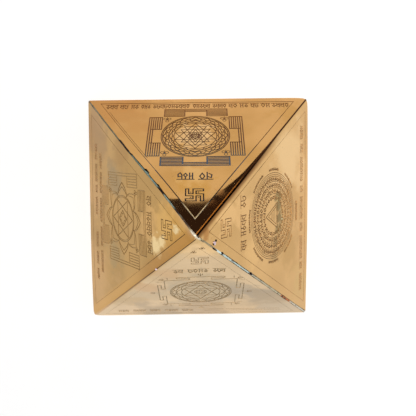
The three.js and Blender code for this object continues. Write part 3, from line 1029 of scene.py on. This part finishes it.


# Bands of painted light along the folds; each band is a width in mm, a colour, a share, and the heights where
# it is full and gone. On the north-east fold the dark line in the crease is painted shade, and the bright
# orange line near the tip is a painted highlight.
NE_CREASE_PAINTED_LIGHT = ((0.9, "4A260C", 1.0, 44, 52), (0.5, "D07E2E", 1.0, 52, 44))
# On the south-west fold the dark lines in the crease are painted shade, and the pale band low down is a
# painted highlight.
SW_CREASE_PAINTED_LIGHT = ((0.8, "5E3614", 0.62, 34, 58), (0.42, "3A1C0C", 0.9, 46, 32), (1.2, "C8A070", 1.0, 5, 22))
# Brown bands on the east side of the north-east fold: painted shade, the dark band that the bend mirrors
# beside its crease.
EAST_FOLD_PAINTED_SHADE = ((6.0, "7A4C20", 0.8, 44, 14), (3.0, "40250F", 0.85, 50, 18))
# Orange bands on the west side of the south-west fold: painted reflection, lighter low down and darker higher
# up.
WEST_FOLD_PAINTED_REFLECTION = ((12.0, "CC9C56", 0.75, 25, 45), (12.0, "B07C3C", 0.6, 50, 28))
DRIFT = DRIFT_LOW, DRIFT_HIGH
north_fold = crease_of(NORTH, NORTH_EAST[0], NE_CREASE_PAINTED_LIGHT)
east_fold = crease_of(NORTH, NORTH_EAST[0], EAST_FOLD_PAINTED_SHADE + NE_CREASE_PAINTED_LIGHT)
south_fold = crease_of(SOUTH, SOUTH_WEST[0], SW_CREASE_PAINTED_LIGHT, DRIFT)
west_fold = crease_of(SOUTH, SOUTH_WEST[0], WEST_FOLD_PAINTED_REFLECTION + SW_CREASE_PAINTED_LIGHT, DRIFT)
# Each face's plate is the same gold in a tone of its own, as painted light: darker on the west, which lies in
# shade, and paler on the south, which mirrors at a low angle. The patches on each are mostly painted light as
# well.
north_plate = gold_plate("gold_plate_north", "D2A061", "C08F4E", 0.8, north_fold, tone_patches_on(NORTH, (
    (40, 5, 26, 12, "BC8444", 0.8, 0), (27, 22, 16, 12, "C08E50", 0.5, 0), (2, 60, 11, 5, "C8944A", 0.8, 0),
    # The lighter patches by the cross and in the middle of the circle are painted highlights.
    (1, 54.5, 7, 4, "DCAE6E", 0.7, 0), (0.6, 29, 10.5, 3, "E6BC84", 0.75, 0),
    (-41, 11, 9, 5, "C4924E", 0.8, 0), (-10, 66.5, 3.4, 1.5, "C88444", 0.8, 0.09),
    (-7, 71.5, 3, 1.5, "C87C3C", 0.7, 0.07))))
east_plate = gold_plate("gold_plate_east", "D3A96E", "C59C62", 0.8, east_fold, tone_patches_on(EAST, (
    (26, 20, 18, 10, "E4C08A", 0.8, 0), (-17, 17, 10, 6, "BC9458", 0.75, 0),
    (-34, 7, 10, 6, "CAA668", 0.8, 0), (-12, 48, 9, 5, "DDB274", 0.8, 0), (5, 68, 9, 5, "E4B87C", 0.8, 0),
    (4, 57, 9, 5, "E0B478", 0.7, 0), (-0.5, 81.4, 3.2, 2, "A87038", 0.7, 0),
    (8, 28.6, 3.4, 2, "8C7646", 0.8, 0.15), (3.5, 28, 3.6, 2, "7E6C40", 0.85, 0.15),
    (-1.5, 27.4, 3.4, 2, "7C683C", 0.85, 0.15), (-6, 28.6, 3.2, 2, "8A7444", 0.8, 0.15),
    (-11, 30.6, 3.6, 3, "9C8050", 0.75, 0.1), (-17, 31.5, 4.4, 3, "AC8C5A", 0.7, 0.1),
    # The small pale green-white spots are painted highlights.
    (6.4, 28.6, 0.7, 1, "D6CF92", 0.8, 0.3), (-0.6, 25, 0.6, 1, "D8E6B4", 0.9, 0.3),
    (-2.2, 24.8, 0.7, 1, "DDEBC0", 0.9, 0.3), (-3.8, 25.2, 0.6, 1, "C8D8A0", 0.9, 0.3))))
south_plate = gold_plate("gold_plate_south", "D2B385", "C2A374", 0.8, south_fold, tone_patches_on(SOUTH, (
    (2, 31, 24, 8, "AA9672", 0.8, 0.03), (17, 33, 9, 5, "A69274", 0.85, 0.05),
    (26, 28, 11, 6, "9C886A", 0.85, 0.05), (-21, 30, 10, 6, "BCA47C", 0.6, 0),
    (-31, 21, 9, 5, "BA9A66", 0.8, 0), (-21, 38, 9, 5, "C19862", 0.8, 0), (-12, 54, 8, 5, "C49C68", 0.7, 0),
    (32, 21, 15, 8, "A68C64", 0.85, 0), (38, 6, 14, 8, "BCA480", 0.85, 0), (2, 8, 17, 8, "B29469", 0.85, 0),
    (-18, 4, 17, 9, "A68C64", 0.85, 0), (0, 79, 12, 6, "D4B07A", 0.9, 0),
    (4.5, 77, 8, 5, "E6C088", 0.85, 0))))
west_plate = gold_plate("gold_plate_west", "BC9457", "AB864C", 0.9, west_fold, tone_patches_on(WEST, (
    (-16, 26, 9, 5, "9A825A", 0.8, 0.08), (16, 25, 8, 5, "A08759", 0.7, 0.08),
    (0, 76, 16, 8, "C8974C", 0.9, 0), (-1, 66, 9, 5, "D8AA62", 0.8, 0), (0, 54, 9, 5, "CEA264", 0.75, 0),
    # The pale cream spots are painted reflections of something bright.
    (8, 60, 5, 2, "EBCF98", 0.9, 0.1), (5.5, 64.5, 3, 2, "EBCF98", 0.85, 0.1),
    (-0.2, 74.8, 2.4, 2, "EBD3A0", 0.85, 0.1),
    (-38, 7, 12, 7, "A68052", 0.8, 0), (-31, 14, 11, 6, "A37F4F", 0.8, 0), (-27, 33, 9, 5, "AA8249", 0.8, 0),
    (30, 5, 20, 9, "C49B64", 0.7, 0), (-10, 4, 12, 7, "C49B64", 0.7, 0), (-1, 83, 5, 3, "B88A40", 0.7, 0))))
# The etched tones are painted light and shade, a set for each face; the cream at the top of the north etching
# is the light that the lines catch in the dark wedge under the tip.
north_etching = etched_gold("etching_north", (
    (0, "A06E3A"), (12, "90623A"), (17, "7C4E2C"), (30, "765038"), (34, "70685C"), (37, "586878"),
    (42, "525E6E"), (44, "484850"), (48, "444248"), (54, "201E22"), (57.4, "323032"), (59.5, "EBD9B2")))
# The north walls go from dark to pale with height, and the east and south walls are pale all over: painted
# highlight on the walls beside the darker floors of the lines.
north_walls = etched_gold("etched_walls_north", (
    (0, "8A5C30"), (16, "643C22"), (36, "46525E"), (46, "B89868"), (56, "D8BC88"), (60, "D8C090")))
east_etching = etched_gold("etching_east", (
    (0, "8E6638"), (2.6, "9A7040"), (3.4, "C8A476"), (13, "B48E5C"), (19, "8E6838"), (26, "5E3C20"),
    (40, "5E3C20"), (50, "6A4626"), (60, "7E5832")), grain_hex="CFA46A", share=0.3, grain_mm=1.5)
east_walls = etched_gold("etched_walls_east", ((0, "D2A870"), (18, "E4C896"), (60, "E4C48E")),
                         grain_hex="9A7040", share=0.5, grain_mm=1.0, dull=0.3)
south_etching = etched_gold("etching_south", (
    (0, "C0A47C"), (16, "86724E"), (45, "7C6844"), (64, "7C6440")),
    grain_hex="C6AE88", share=0.5, grain_mm=1.5)
south_walls = etched_gold("etched_walls_south", ((0, "D6C09A"), (60, "DCC296")),
                          grain_hex="A08A60", share=0.4, grain_mm=1.0, dull=0.3)
west_etching = etched_gold("etching_west", (
    (0, "B8946A"), (8, "B8946A"), (13, "B89460"), (20, "A68858"), (41, "A08052"), (43.5, "9A7848"),
    (54, "6C4C26")), grain_hex="B8965E", share=0.4, grain_mm=1.6)
bare_metal = rolled_brass(), sheared_brass()

north_east_metal = (
    north_plate, east_plate, north_etching, east_etching, north_walls, east_walls, *bare_metal)
south_west_metal = (
    south_plate, west_plate, south_etching, west_etching, south_walls, west_etching, *bare_metal)
make_sheet("etched_north_east_sheet", "north_east_sheet", (north_panel, east_panel),
           (north_art(), east_art()), north_east_metal)
make_sheet("etched_south_west_sheet", "south_west_sheet", (south_panel, west_panel),
           (south_art(), west_art()), south_west_metal, drifts=True)


# The soldered seams
# Soft solder that was melted into the two hips where the cut edges meet. It set as a lumpy run between the
# edges, and inside as a hollow fillet on both faces. Geometry Nodes sweep each run up its hip.
FLUX_EDGE = 0.06


def soft_solder(name, tones, flux_hex, flux_from):
    """Soft solder that set as it flowed: bright lumpy metal, dulled and spotted brown where flux burnt on it.
    Its tone changes along a seam, so it goes by height. Inside the pyramid it is one dull grey."""
    material, tree, coords = blank_material(name)
    facing = node(tree, "ShaderNodeNewGeometry", None, "True Normal")
    facing = node(tree, "ShaderNodeSeparateXYZ", {0: facing}, "Z")
    under = node(tree, "ShaderNodeMath", {0: facing, 1: 0.0}, operation="LESS_THAN")
    tone = laid_over(tree, tones_by_height(tree, coords, tones), "8E8C7E", under)
    burnt = mottle(tree, coords, 2.6, low=flux_from, high=flux_from + FLUX_EDGE)
    tone = laid_over(tree, tone, flux_hex, burnt)
    gloss = mottle(tree, coords, 1.0, low=0.3, high=0.8, least=0.22, most=0.5)
    lumps = roughened(tree, coords, 0.9, depth_mm=0.12, strength=0.35, detail=3.0)
    return as_metal(material, tree, tone, gloss, lumps)


def shape_tree(name, inputs):
    """A Geometry Nodes tree that takes points and the named inputs. Gives back the tree and its inputs."""
    tree = bpy.data.node_groups.new(name, "GeometryNodeTree")
    tree.interface.new_socket("Geometry", in_out="OUTPUT", socket_type="NodeSocketGeometry")
    for label, kind in (("Geometry", "Geometry"), *inputs):
        tree.interface.new_socket(label, in_out="INPUT", socket_type="NodeSocket" + kind)
    return tree, node(tree, "NodeGroupInput").node.outputs


def lumps_at(tree, vector, length, seed):
    """Smooth noise from -1 to 1, with lumps of a length."""
    scale = node(tree, "ShaderNodeMath", {0: 1.0, 1: length}, operation="DIVIDE")
    inputs = {"Vector": vector, "W": seed, "Scale": scale, "Detail": 3.0}
    wave = node(tree, "ShaderNodeTexNoise", inputs, noise_dimensions="4D")
    limits = {"Value": wave, "From Min": 0.25, "From Max": 0.75, "To Min": -1.0, "To Max": 1.0}
    return node(tree, "ShaderNodeMapRange", limits)


def finish_shape(tree, shape, material):
    """Ends a tree with plain geometry in its material."""
    shape = node(tree, "GeometryNodeRealizeInstances", {0: shape})
    shape = node(tree, "GeometryNodeSetMaterial", {"Geometry": shape, "Material": material})
    node(tree, "NodeGroupOutput", {0: shape})
    return tree


def run_tree():
    """Sweeps a section along a hip. Its points carry how far lumps lift them and the fillet's swell."""
    tree, given = shape_tree("solder_run", (
        ("Foot", "Float"), ("Head", "Float"), ("Rows", "Int"), ("Lump Length", "Float"),
        ("Swell Length", "Float"), ("Seed", "Float"), ("Lean", "Float"), ("Turn", "Vector"),
        ("Corner", "Vector"), ("Material", "Material")))
    ends = {}
    for label, level in (("Start", "Foot"), ("End", "Head")):
        ends[label] = node(tree, "ShaderNodeCombineXYZ", {"Z": given[level]})
    path = node(tree, "GeometryNodeCurvePrimitiveLine", ends)
    path = node(tree, "GeometryNodeResampleCurve", {"Curve": path, "Count": given["Rows"]})
    section = node(tree, "GeometryNodeMeshToCurve", {"Mesh": given["Geometry"]})
    swept = {"Curve": path, "Profile Curve": section, "Fill Caps": True}
    run = node(tree, "GeometryNodeCurveToMesh", swept)
    place = node(tree, "GeometryNodeInputPosition")
    along = node(tree, "ShaderNodeVectorMath", {0: place, 1: (0, 0, 1)}, operation="MULTIPLY")
    for name, length in (("lift", "Lump Length"), ("swell", "Swell Length")):
        share = node(tree, "GeometryNodeInputNamedAttribute", {"Name": name}, data_type="FLOAT_VECTOR")
        wave = lumps_at(tree, along, given[length], given["Seed"])
        offset = node(tree, "ShaderNodeVectorMath", {0: share, "Scale": wave}, operation="SCALE")
        run = node(tree, "GeometryNodeSetPosition", {"Geometry": run, "Offset": offset})
    out = node(tree, "ShaderNodeSeparateXYZ", {0: place}, "Y")
    shear = node(tree, "ShaderNodeMath", {0: out, 1: given["Lean"]}, operation="MULTIPLY")
    level = node(tree, "ShaderNodeCombineXYZ", {"Z": shear})
    run = node(tree, "GeometryNodeSetPosition", {"Geometry": run, "Offset": level})
    stood_up = {"Geometry": run, "Translation": given["Corner"], "Rotation": given["Turn"]}
    return finish_shape(tree, node(tree, "GeometryNodeTransform", stood_up), given["Material"])


def grown(name, points, edges, shares, tree, inputs, sharp_deg):
    """Runs a tree on a few points and keeps the plain mesh. shares are vectors on the points, by name."""
    start = bpy.data.meshes.new(name)
    start.from_pydata(points, edges, [])
    for label, vectors in shares.items():
        layer = start.attributes.new(label, "FLOAT_VECTOR", "POINT")
        layer.data.foreach_set("vector", [c for vector in vectors for c in vector])
    obj = new_object(name, start)
    modifier = obj.modifiers.new(tree.name, "NODES")
    modifier.node_group = tree
    for item in tree.interface.items_tree:
        if item.name in inputs:
            modifier[item.identifier] = inputs[item.name]
    depsgraph = bpy.context.evaluated_depsgraph_get()
    mesh = bpy.data.meshes.new_from_object(obj.evaluated_get(depsgraph), depsgraph=depsgraph)
    obj.data = mesh
    obj.modifiers.remove(modifier)
    mesh.name = name
    mesh.vertices.foreach_set("co", [c for p in knocked([v.co for v in mesh.vertices]) for c in p])
    mesh.polygons.foreach_set("use_smooth", [True] * len(mesh.polygons))
    mesh.set_sharp_from_angle(angle=math.radians(sharp_deg))
    mesh.update()
    return obj


FOLD_ANGLE = 2 * math.atan(1 / ROOT_2)
ACROSS, DROP = math.cos(FOLD_ANGLE / 2), math.sin(FOLD_ANGLE / 2)
BITE = 0.04
INTO_SHEET = 0.02
FILLET, FILLET_EDGE, FILLET_DEPTH, FILLET_SWELL = 1.9, 0.15, 0.75, 0.6


def seam_section(cut, crown, side, lumps):
    """A level section, as points with their lift and their swell. Half of it is given: how far down the face
    a point lies, how far out from it, how far lumps lift it, and how far the fillet's swell moves it."""
    down, inside, foot = cut - BITE, -SHEET - INTO_SHEET, cut + FILLET
    half = ((down * 0.3, crown, lumps, 0), (down * 0.75, (crown + side) / 2, lumps * 0.75, 0),
            (down, side, lumps * 0.5, 0), (down, inside, 0, 0), (foot, inside, 0, FILLET_SWELL),
            (foot, inside - FILLET_EDGE, 0, FILLET_SWELL),
            (cut + FILLET / 2, inside - FILLET_DEPTH, 0, FILLET_SWELL / 2))
    sides = []
    for sign in (LEFT, RIGHT):
        downhill = Vector((sign * ACROSS, -DROP, 0)) * MM
        outward = Vector((sign * DROP, ACROSS, 0)) * MM
        sides.append([(downhill * d + outward * o, outward * a, downhill * b) for d, o, a, b in half])
    return sides[0] + sides[1][::-1]


RUN_FOOT, RUN_TIP_GAP = 0.4, 3.4
RUN_ROWS = 261
RUN_LUMP = 3.6
SWELLS_PER_LUMP = 0.15
RUN_SHARP_DEG = 50


def make_run(name, solid, signs, section, material, seed):
    """signs tell which of the four hips the run lies on."""
    corner = Vector((signs[0] * HALF, signs[1] * HALF, 0))
    along = (Vector((0, 0, HEIGHT)) - corner).normalized()
    across = Vector((signs[1], -signs[0], 0)).normalized()
    outward = along.cross(across)
    points, lift, swell = zip(*section)
    edges = [(i, (i + 1) % len(points)) for i in range(len(points))]
    obj = grown(name, points, edges, {"lift": lift, "swell": swell}, SOLDER_RUN, {
        "Foot": RUN_FOOT / along.z * MM, "Head": (HEIGHT - RUN_TIP_GAP) / along.z * MM, "Rows": RUN_ROWS,
        "Lump Length": RUN_LUMP * MM, "Swell Length": RUN_LUMP / SWELLS_PER_LUMP * MM, "Seed": seed,
        "Lean": -outward.z / along.z, "Turn": Matrix((across, outward, along)).transposed().to_euler(),
        "Corner": corner * MM, "Material": material}, RUN_SHARP_DEG)
    put_in(obj, solid)


SOLDER_RUN = run_tree()
north_west_solder = soft_solder("dark_solder", (
    (0, "88826C"), (14, "726C56"), (24.8, "6A6852"), (25.8, "2A1A10"), (32, "2A1A10"), (33, "5C6454"),
    (42, "7C9086"), (50.2, "84988E"), (51.2, "2C1810"), (54, "2C1810"), (54.9, "949E8E"), (60, "90A094"),
    (61, "3A2820"), (62.6, "3A2820"), (63.4, "6C6452"), (66, "5E4A3A")),
    flux_hex="2C1C12", flux_from=0.62)
south_east_solder = soft_solder("bright_solder", (
    (0, "D2CCBC"), (13, "D0C6B0"), (14.3, "B8682A"), (20.3, "B86A2C"), (21.3, "BAAE8E"), (41, "B4AC94"),
    (43, "B8C4BA"), (58, "C0D0CA"), (59, "CFE2DE"), (61, "CFE2DE"), (62.5, "A8987A"), (68, "9A8A68")),
    flux_hex="2E2014", flux_from=0.62)
make_run("north_west_solder_run", "north_west_solder_seam", (-1, 1),
         seam_section(NORTH_WEST_CUT, crown=0.02, side=-0.06, lumps=0.1), north_west_solder, seed=21.4)
make_run("south_east_solder_run", "south_east_solder_seam", (1, -1),
         seam_section(SOUTH_EAST_CUT, crown=0.1, side=-0.2, lumps=0.2), south_east_solder, seed=22.7)


# The tip and the drops
# A ridge of soft solder that closes the tip, a splash of it beside the tip, a speck on the south-west fold,
# and beads of burnt flux on and beside the bright seam. Each set as a drop. Geometry Nodes place them.
TIP_BLUNTNESS = 0.84
DROP_LUMP_HEIGHT, DROP_LUMP_LENGTH = 0.1, 0.9
DROP_SHARP_DEG = 180


def drop_tree():
    """Sets a lumpy drop on each point, as large as the point says. Drape hangs it over the tip."""
    tree, given = shape_tree("solder_drops", (
        ("Turn", "Vector"), ("Lump Height", "Float"), ("Lump Length", "Float"), ("Seed", "Float"),
        ("Drape", "Float"), ("Material", "Material")))
    ball = node(tree, "GeometryNodeMeshUVSphere", {"Segments": 24, "Rings": 36, "Radius": 1.0})
    ball = node(tree, "GeometryNodeTransform", {"Geometry": ball, "Rotation": (0, math.pi / 2, 0)})
    size = node(tree, "GeometryNodeInputNamedAttribute", {"Name": "size"}, data_type="FLOAT_VECTOR")
    inputs = {"Points": given["Geometry"], "Instance": ball, "Rotation": given["Turn"], "Scale": size}
    drops = node(tree, "GeometryNodeInstanceOnPoints", inputs)
    drops = node(tree, "GeometryNodeRealizeInstances", {0: drops})
    place = node(tree, "GeometryNodeInputPosition")
    lump = lumps_at(tree, place, given["Lump Length"], given["Seed"])
    lump = node(tree, "ShaderNodeMath", {0: lump, 1: given["Lump Height"]}, operation="MULTIPLY")
    outward = node(tree, "GeometryNodeInputNormal")
    offset = node(tree, "ShaderNodeVectorMath", {0: outward, "Scale": lump}, operation="SCALE")
    drops = node(tree, "GeometryNodeSetPosition", {"Geometry": drops, "Offset": offset})
    blunt = {0: place, 1: (1, 1, 0), 2: (0, 0, TIP_BLUNTNESS * MM)}
    away = node(tree, "ShaderNodeVectorMath", blunt, operation="MULTIPLY_ADD")
    away = node(tree, "ShaderNodeVectorMath", {0: away}, "Value", operation="LENGTH")
    fall = node(tree, "ShaderNodeMath", {0: away, 1: given["Drape"]}, operation="MULTIPLY")
    offset = node(tree, "ShaderNodeVectorMath", {0: (0, 0, -1), "Scale": fall}, operation="SCALE")
    drops = node(tree, "GeometryNodeSetPosition", {"Geometry": drops, "Offset": offset})
    return finish_shape(tree, drops, given["Material"])


def make_drops(name, solid, drops, axes, material, seed, drape=0.0):
    """Drops are rows of a place and its sizes along the axes."""
    places = [place * MM for place, _ in drops]
    sizes = {"size": [Vector(size) * MM for _, size in drops]}
    obj = grown(name, places, [], sizes, SOLDER_DROPS, {
        "Turn": Matrix(axes).transposed().to_euler(), "Lump Height": DROP_LUMP_HEIGHT * MM,
        "Lump Length": DROP_LUMP_LENGTH * MM, "Seed": seed, "Drape": drape, "Material": material},
        DROP_SHARP_DEG)
    put_in(obj, solid)


def on_hip(signs, z, shift=0.0):
    reach = HALF * (1 - z / HEIGHT)
    return Vector((signs[0] * reach, signs[1] * reach, z)) + SOUTH_EASTWARD * shift


SOLDER_DROPS = drop_tree()
UPRIGHT = Vector((0, 0, 1))
UP_HIP = (EAST.right * HALF + EAST.up * SLANT) / HIP
LEVEL_AXES = (-SOUTH_EASTWARD, SOUTH_EASTWARD.cross(UPRIGHT), UPRIGHT)
SEAM_AXES = (UP_HIP, EAST.normal.cross(UP_HIP), EAST.normal)
tip_solder = soft_solder("tip_solder_metal", (
    (0, "5E4A3A"), (67.6, "6E5A44"), (69.2, "B8A67C"), (70, "E2D4BC")), flux_hex="4E3A20", flux_from=0.5)
splashed = soft_solder("splashed_solder", ((0, "D8C2C6"), (72, "DCC6CC")), flux_hex="4A4230", flux_from=0.62)
burnt_flux = soft_solder("burnt_flux", ((0, "33241A"), (72, "2A1E16")), flux_hex="1C140E", flux_from=0.5)
RIDGE = ((Vector((0.1, -0.45, HEIGHT - 0.25)), (4.1, 0.54, 0.55)),)
SPLASH = ((EAST.point(-4.6, 76.6, 0.08) / MM, (0.85, 0.8, 0.42)),)
SPECK = ((on_hip((-1, -1), 48.3, 1.0) - Vector((0, 0, 0.35)), (0.45, 0.5, 0.4)),)
BEADS = (
    (on_hip((1, -1), 58.4) + EAST.right * 0.35, (0.7, 0.5, 0.4)),
    (on_hip((1, -1), 41.6) + EAST.right * 0.3, (1.1, 0.55, 0.5)),
    (on_hip((1, -1), 62.3) - EAST.right * 0.1, (1.7, 0.35, 0.3)),
    (EAST.point(-3.7, 75.5) / MM, (0.5, 0.45, 0.3)),
)
make_drops("tip_solder_ridge", "tip_solder", RIDGE, LEVEL_AXES, tip_solder, seed=8.3, drape=1.0)
make_drops("solder_splash", "south_east_solder_seam", SPLASH, SEAM_AXES, splashed, seed=9.1)
make_drops("flux_beads", "south_east_solder_seam", BEADS, SEAM_AXES, burnt_flux, seed=5.8)
make_drops("solder_speck", "tip_solder", SPECK, LEVEL_AXES, splashed, seed=5.2)


# Floor, light and camera
# A white floor under soft overhead light. Polished faces mirror what is round the object: past the edge of
# the white card stand dark flags, seen by reflections only, which give the dark wedge under the tip. Their
# sizes and places are in metres.
FLOOR_REACH = 1.2
FADE_FROM, FADE_TO = 0.24, 0.38
CARD_NORTH, CARD_EAST = 0.267, 0.215
FLAG_FAR, FLAG_LOW, FLAG_TALL = 1.15, 0.001, 0.27
EAST_FLAG_FROM, EAST_WALL_FROM = 0.1, 0.02
CRISP = (-9, -8)
SOFT = (CARD_EAST - 0.09, CARD_EAST + 0.03)


def card(name, corners, material):
    obj = finish_mesh(name, corners, [(0, 1, 2, 3)], [0], set(), [material])
    return obj


def background_rays(tree):
    """1 for rays that see the background: straight from the camera, or by a reflection."""
    straight = node(tree, "ShaderNodeLightPath", None, "Is Camera Ray")
    mirrored, through = (straight.node.outputs[name] for name in ("Is Glossy Ray", "Is Transmission Ray"))
    both = node(tree, "ShaderNodeMath", {0: straight, 1: mirrored}, operation="ADD")
    return node(tree, "ShaderNodeMath", {0: both, 1: through}, operation="ADD")


def white_card():
    """Matte white card that takes the object's shadow. Far off it goes over into the white background."""
    material, tree, coords = blank_material("white_card")
    tone = laid_over(tree, colour("F8F8F7"), "F5F5F5", mottle(tree, coords, 90.0, low=0.3, high=0.7))
    matte = node(tree, "ShaderNodeBsdfPrincipled", {"Base Color": tone, "Roughness": 0.8})
    away = node(tree, "ShaderNodeVectorMath", {0: coords}, "Value", operation="LENGTH")
    limits = {"Value": away, "From Min": FADE_FROM, "From Max": FADE_TO}
    far = node(tree, "ShaderNodeMapRange", limits, interpolation_type="SMOOTHSTEP")
    far = node(tree, "ShaderNodeMath", {0: far, 1: background_rays(tree)}, operation="MULTIPLY")
    white = node(tree, "ShaderNodeEmission", {"Strength": 1.0})
    both = node(tree, "ShaderNodeMixShader", {0: far, 1: matte, 2: white})
    node(tree, "ShaderNodeOutputMaterial", {"Surface": both})
    return material


def dark_cloth(name, fade):
    """Dark cloth. fade gives where on the X axis it begins and is full, for a soft shadow's edge."""
    material, tree, coords = blank_material(name)
    x = node(tree, "ShaderNodeSeparateXYZ", {0: coords}, "X")
    limits = {"Value": x, "From Min": fade[0], "From Max": fade[1]}
    thick = node(tree, "ShaderNodeMapRange", limits, interpolation_type="SMOOTHSTEP")
    cloth = node(tree, "ShaderNodeEmission", {"Color": colour("3A3033"), "Strength": 1.0})
    gap = node(tree, "ShaderNodeBsdfTransparent")
    both = node(tree, "ShaderNodeMixShader", {0: thick, 1: gap, 2: cloth})
    node(tree, "ShaderNodeOutputMaterial", {"Surface": both})
    return material


def level_card(west, south, east, north, z=0.0):
    return [(west, south, z), (east, south, z), (east, north, z), (west, north, z)]


def make_flags():
    """Dark strips on the floor beyond the card's edges, and a low dark wall behind them."""
    crisp, soft = dark_cloth("dark_flag", CRISP), dark_cloth("soft_flag", SOFT)
    far, low, tall, wall = FLAG_FAR, FLAG_LOW, FLAG_TALL, EAST_WALL_FROM
    shapes = (
        (level_card(-far, CARD_NORTH, far, far, low), crisp),
        (level_card(EAST_FLAG_FROM, wall, far, CARD_NORTH, low), soft),
        ([(-far, far, low), (far, far, low), (far, far, tall), (-far, far, tall)], crisp),
        ([(far, wall, low), (far, far, low), (far, far, tall), (far, wall, tall)], crisp),
    )
    for i, (corners, material) in enumerate(shapes):
        flag = card("flag_%d" % i, corners, material)
        flag.visible_camera = False
        flag.visible_diffuse = False
        flag.visible_shadow = False


SHED_LIGHT = (0.5, 0.5, 0.5, 1.0)


def make_world():
    """White to the camera and in reflections. The light that it throws on matte things is softer."""
    world = bpy.data.worlds.new("studio")
    bpy.context.scene.world = world
    world.use_nodes = True
    tree = world.node_tree
    tree.nodes.clear()
    tone = laid_over(tree, SHED_LIGHT, "FFFFFF", background_rays(tree))
    light = node(tree, "ShaderNodeBackground", {"Color": tone, "Strength": 1.0})
    node(tree, "ShaderNodeOutputWorld", {"Surface": light})


LAMP_PLACE, LAMP_AIM = Vector((0.15, 0.1, 1.0)), Vector((0, 0, 0.02))
LAMP_SIDE, LAMP_WATTS = 0.9, 8.0


def make_lamp():
    lamp = bpy.data.lights.new("overhead_softbox", "AREA")
    lamp.shape = "RECTANGLE"
    lamp.size = LAMP_SIDE
    lamp.size_y = LAMP_SIDE
    lamp.energy = LAMP_WATTS
    obj = new_object("overhead_softbox", lamp)
    obj.location = LAMP_PLACE
    obj.rotation_euler = (LAMP_AIM - LAMP_PLACE).to_track_quat("-Z", "Y").to_euler()


# The camera's place is in half sides of the base, from the fit to the photo, and its turns are in degrees.
CAMERA_PLACE = Vector((0.084, 0.669, 5.233))
CAMERA_TURNS = (-7.193, -0.139, -0.68)
VIEW_DEG = 40
FILM_WIDTH = 36


def make_camera():
    camera = bpy.data.cameras.new("camera")
    camera.sensor_width = FILM_WIDTH
    camera.lens = FILM_WIDTH / 2 / math.tan(math.radians(VIEW_DEG / 2))
    camera.clip_start = 0.01
    obj = new_object("camera", camera)
    obj.location = CAMERA_PLACE * HALF * MM
    obj.rotation_euler = Euler([math.radians(a) for a in CAMERA_TURNS])
    bpy.context.scene.camera = obj


card("floor_card", level_card(-FLOOR_REACH, -FLOOR_REACH, FLOOR_REACH, FLOOR_REACH), white_card())
make_flags()
make_world()
make_lamp()
make_camera()
bpy.context.scene.view_settings.view_transform = "Standard"
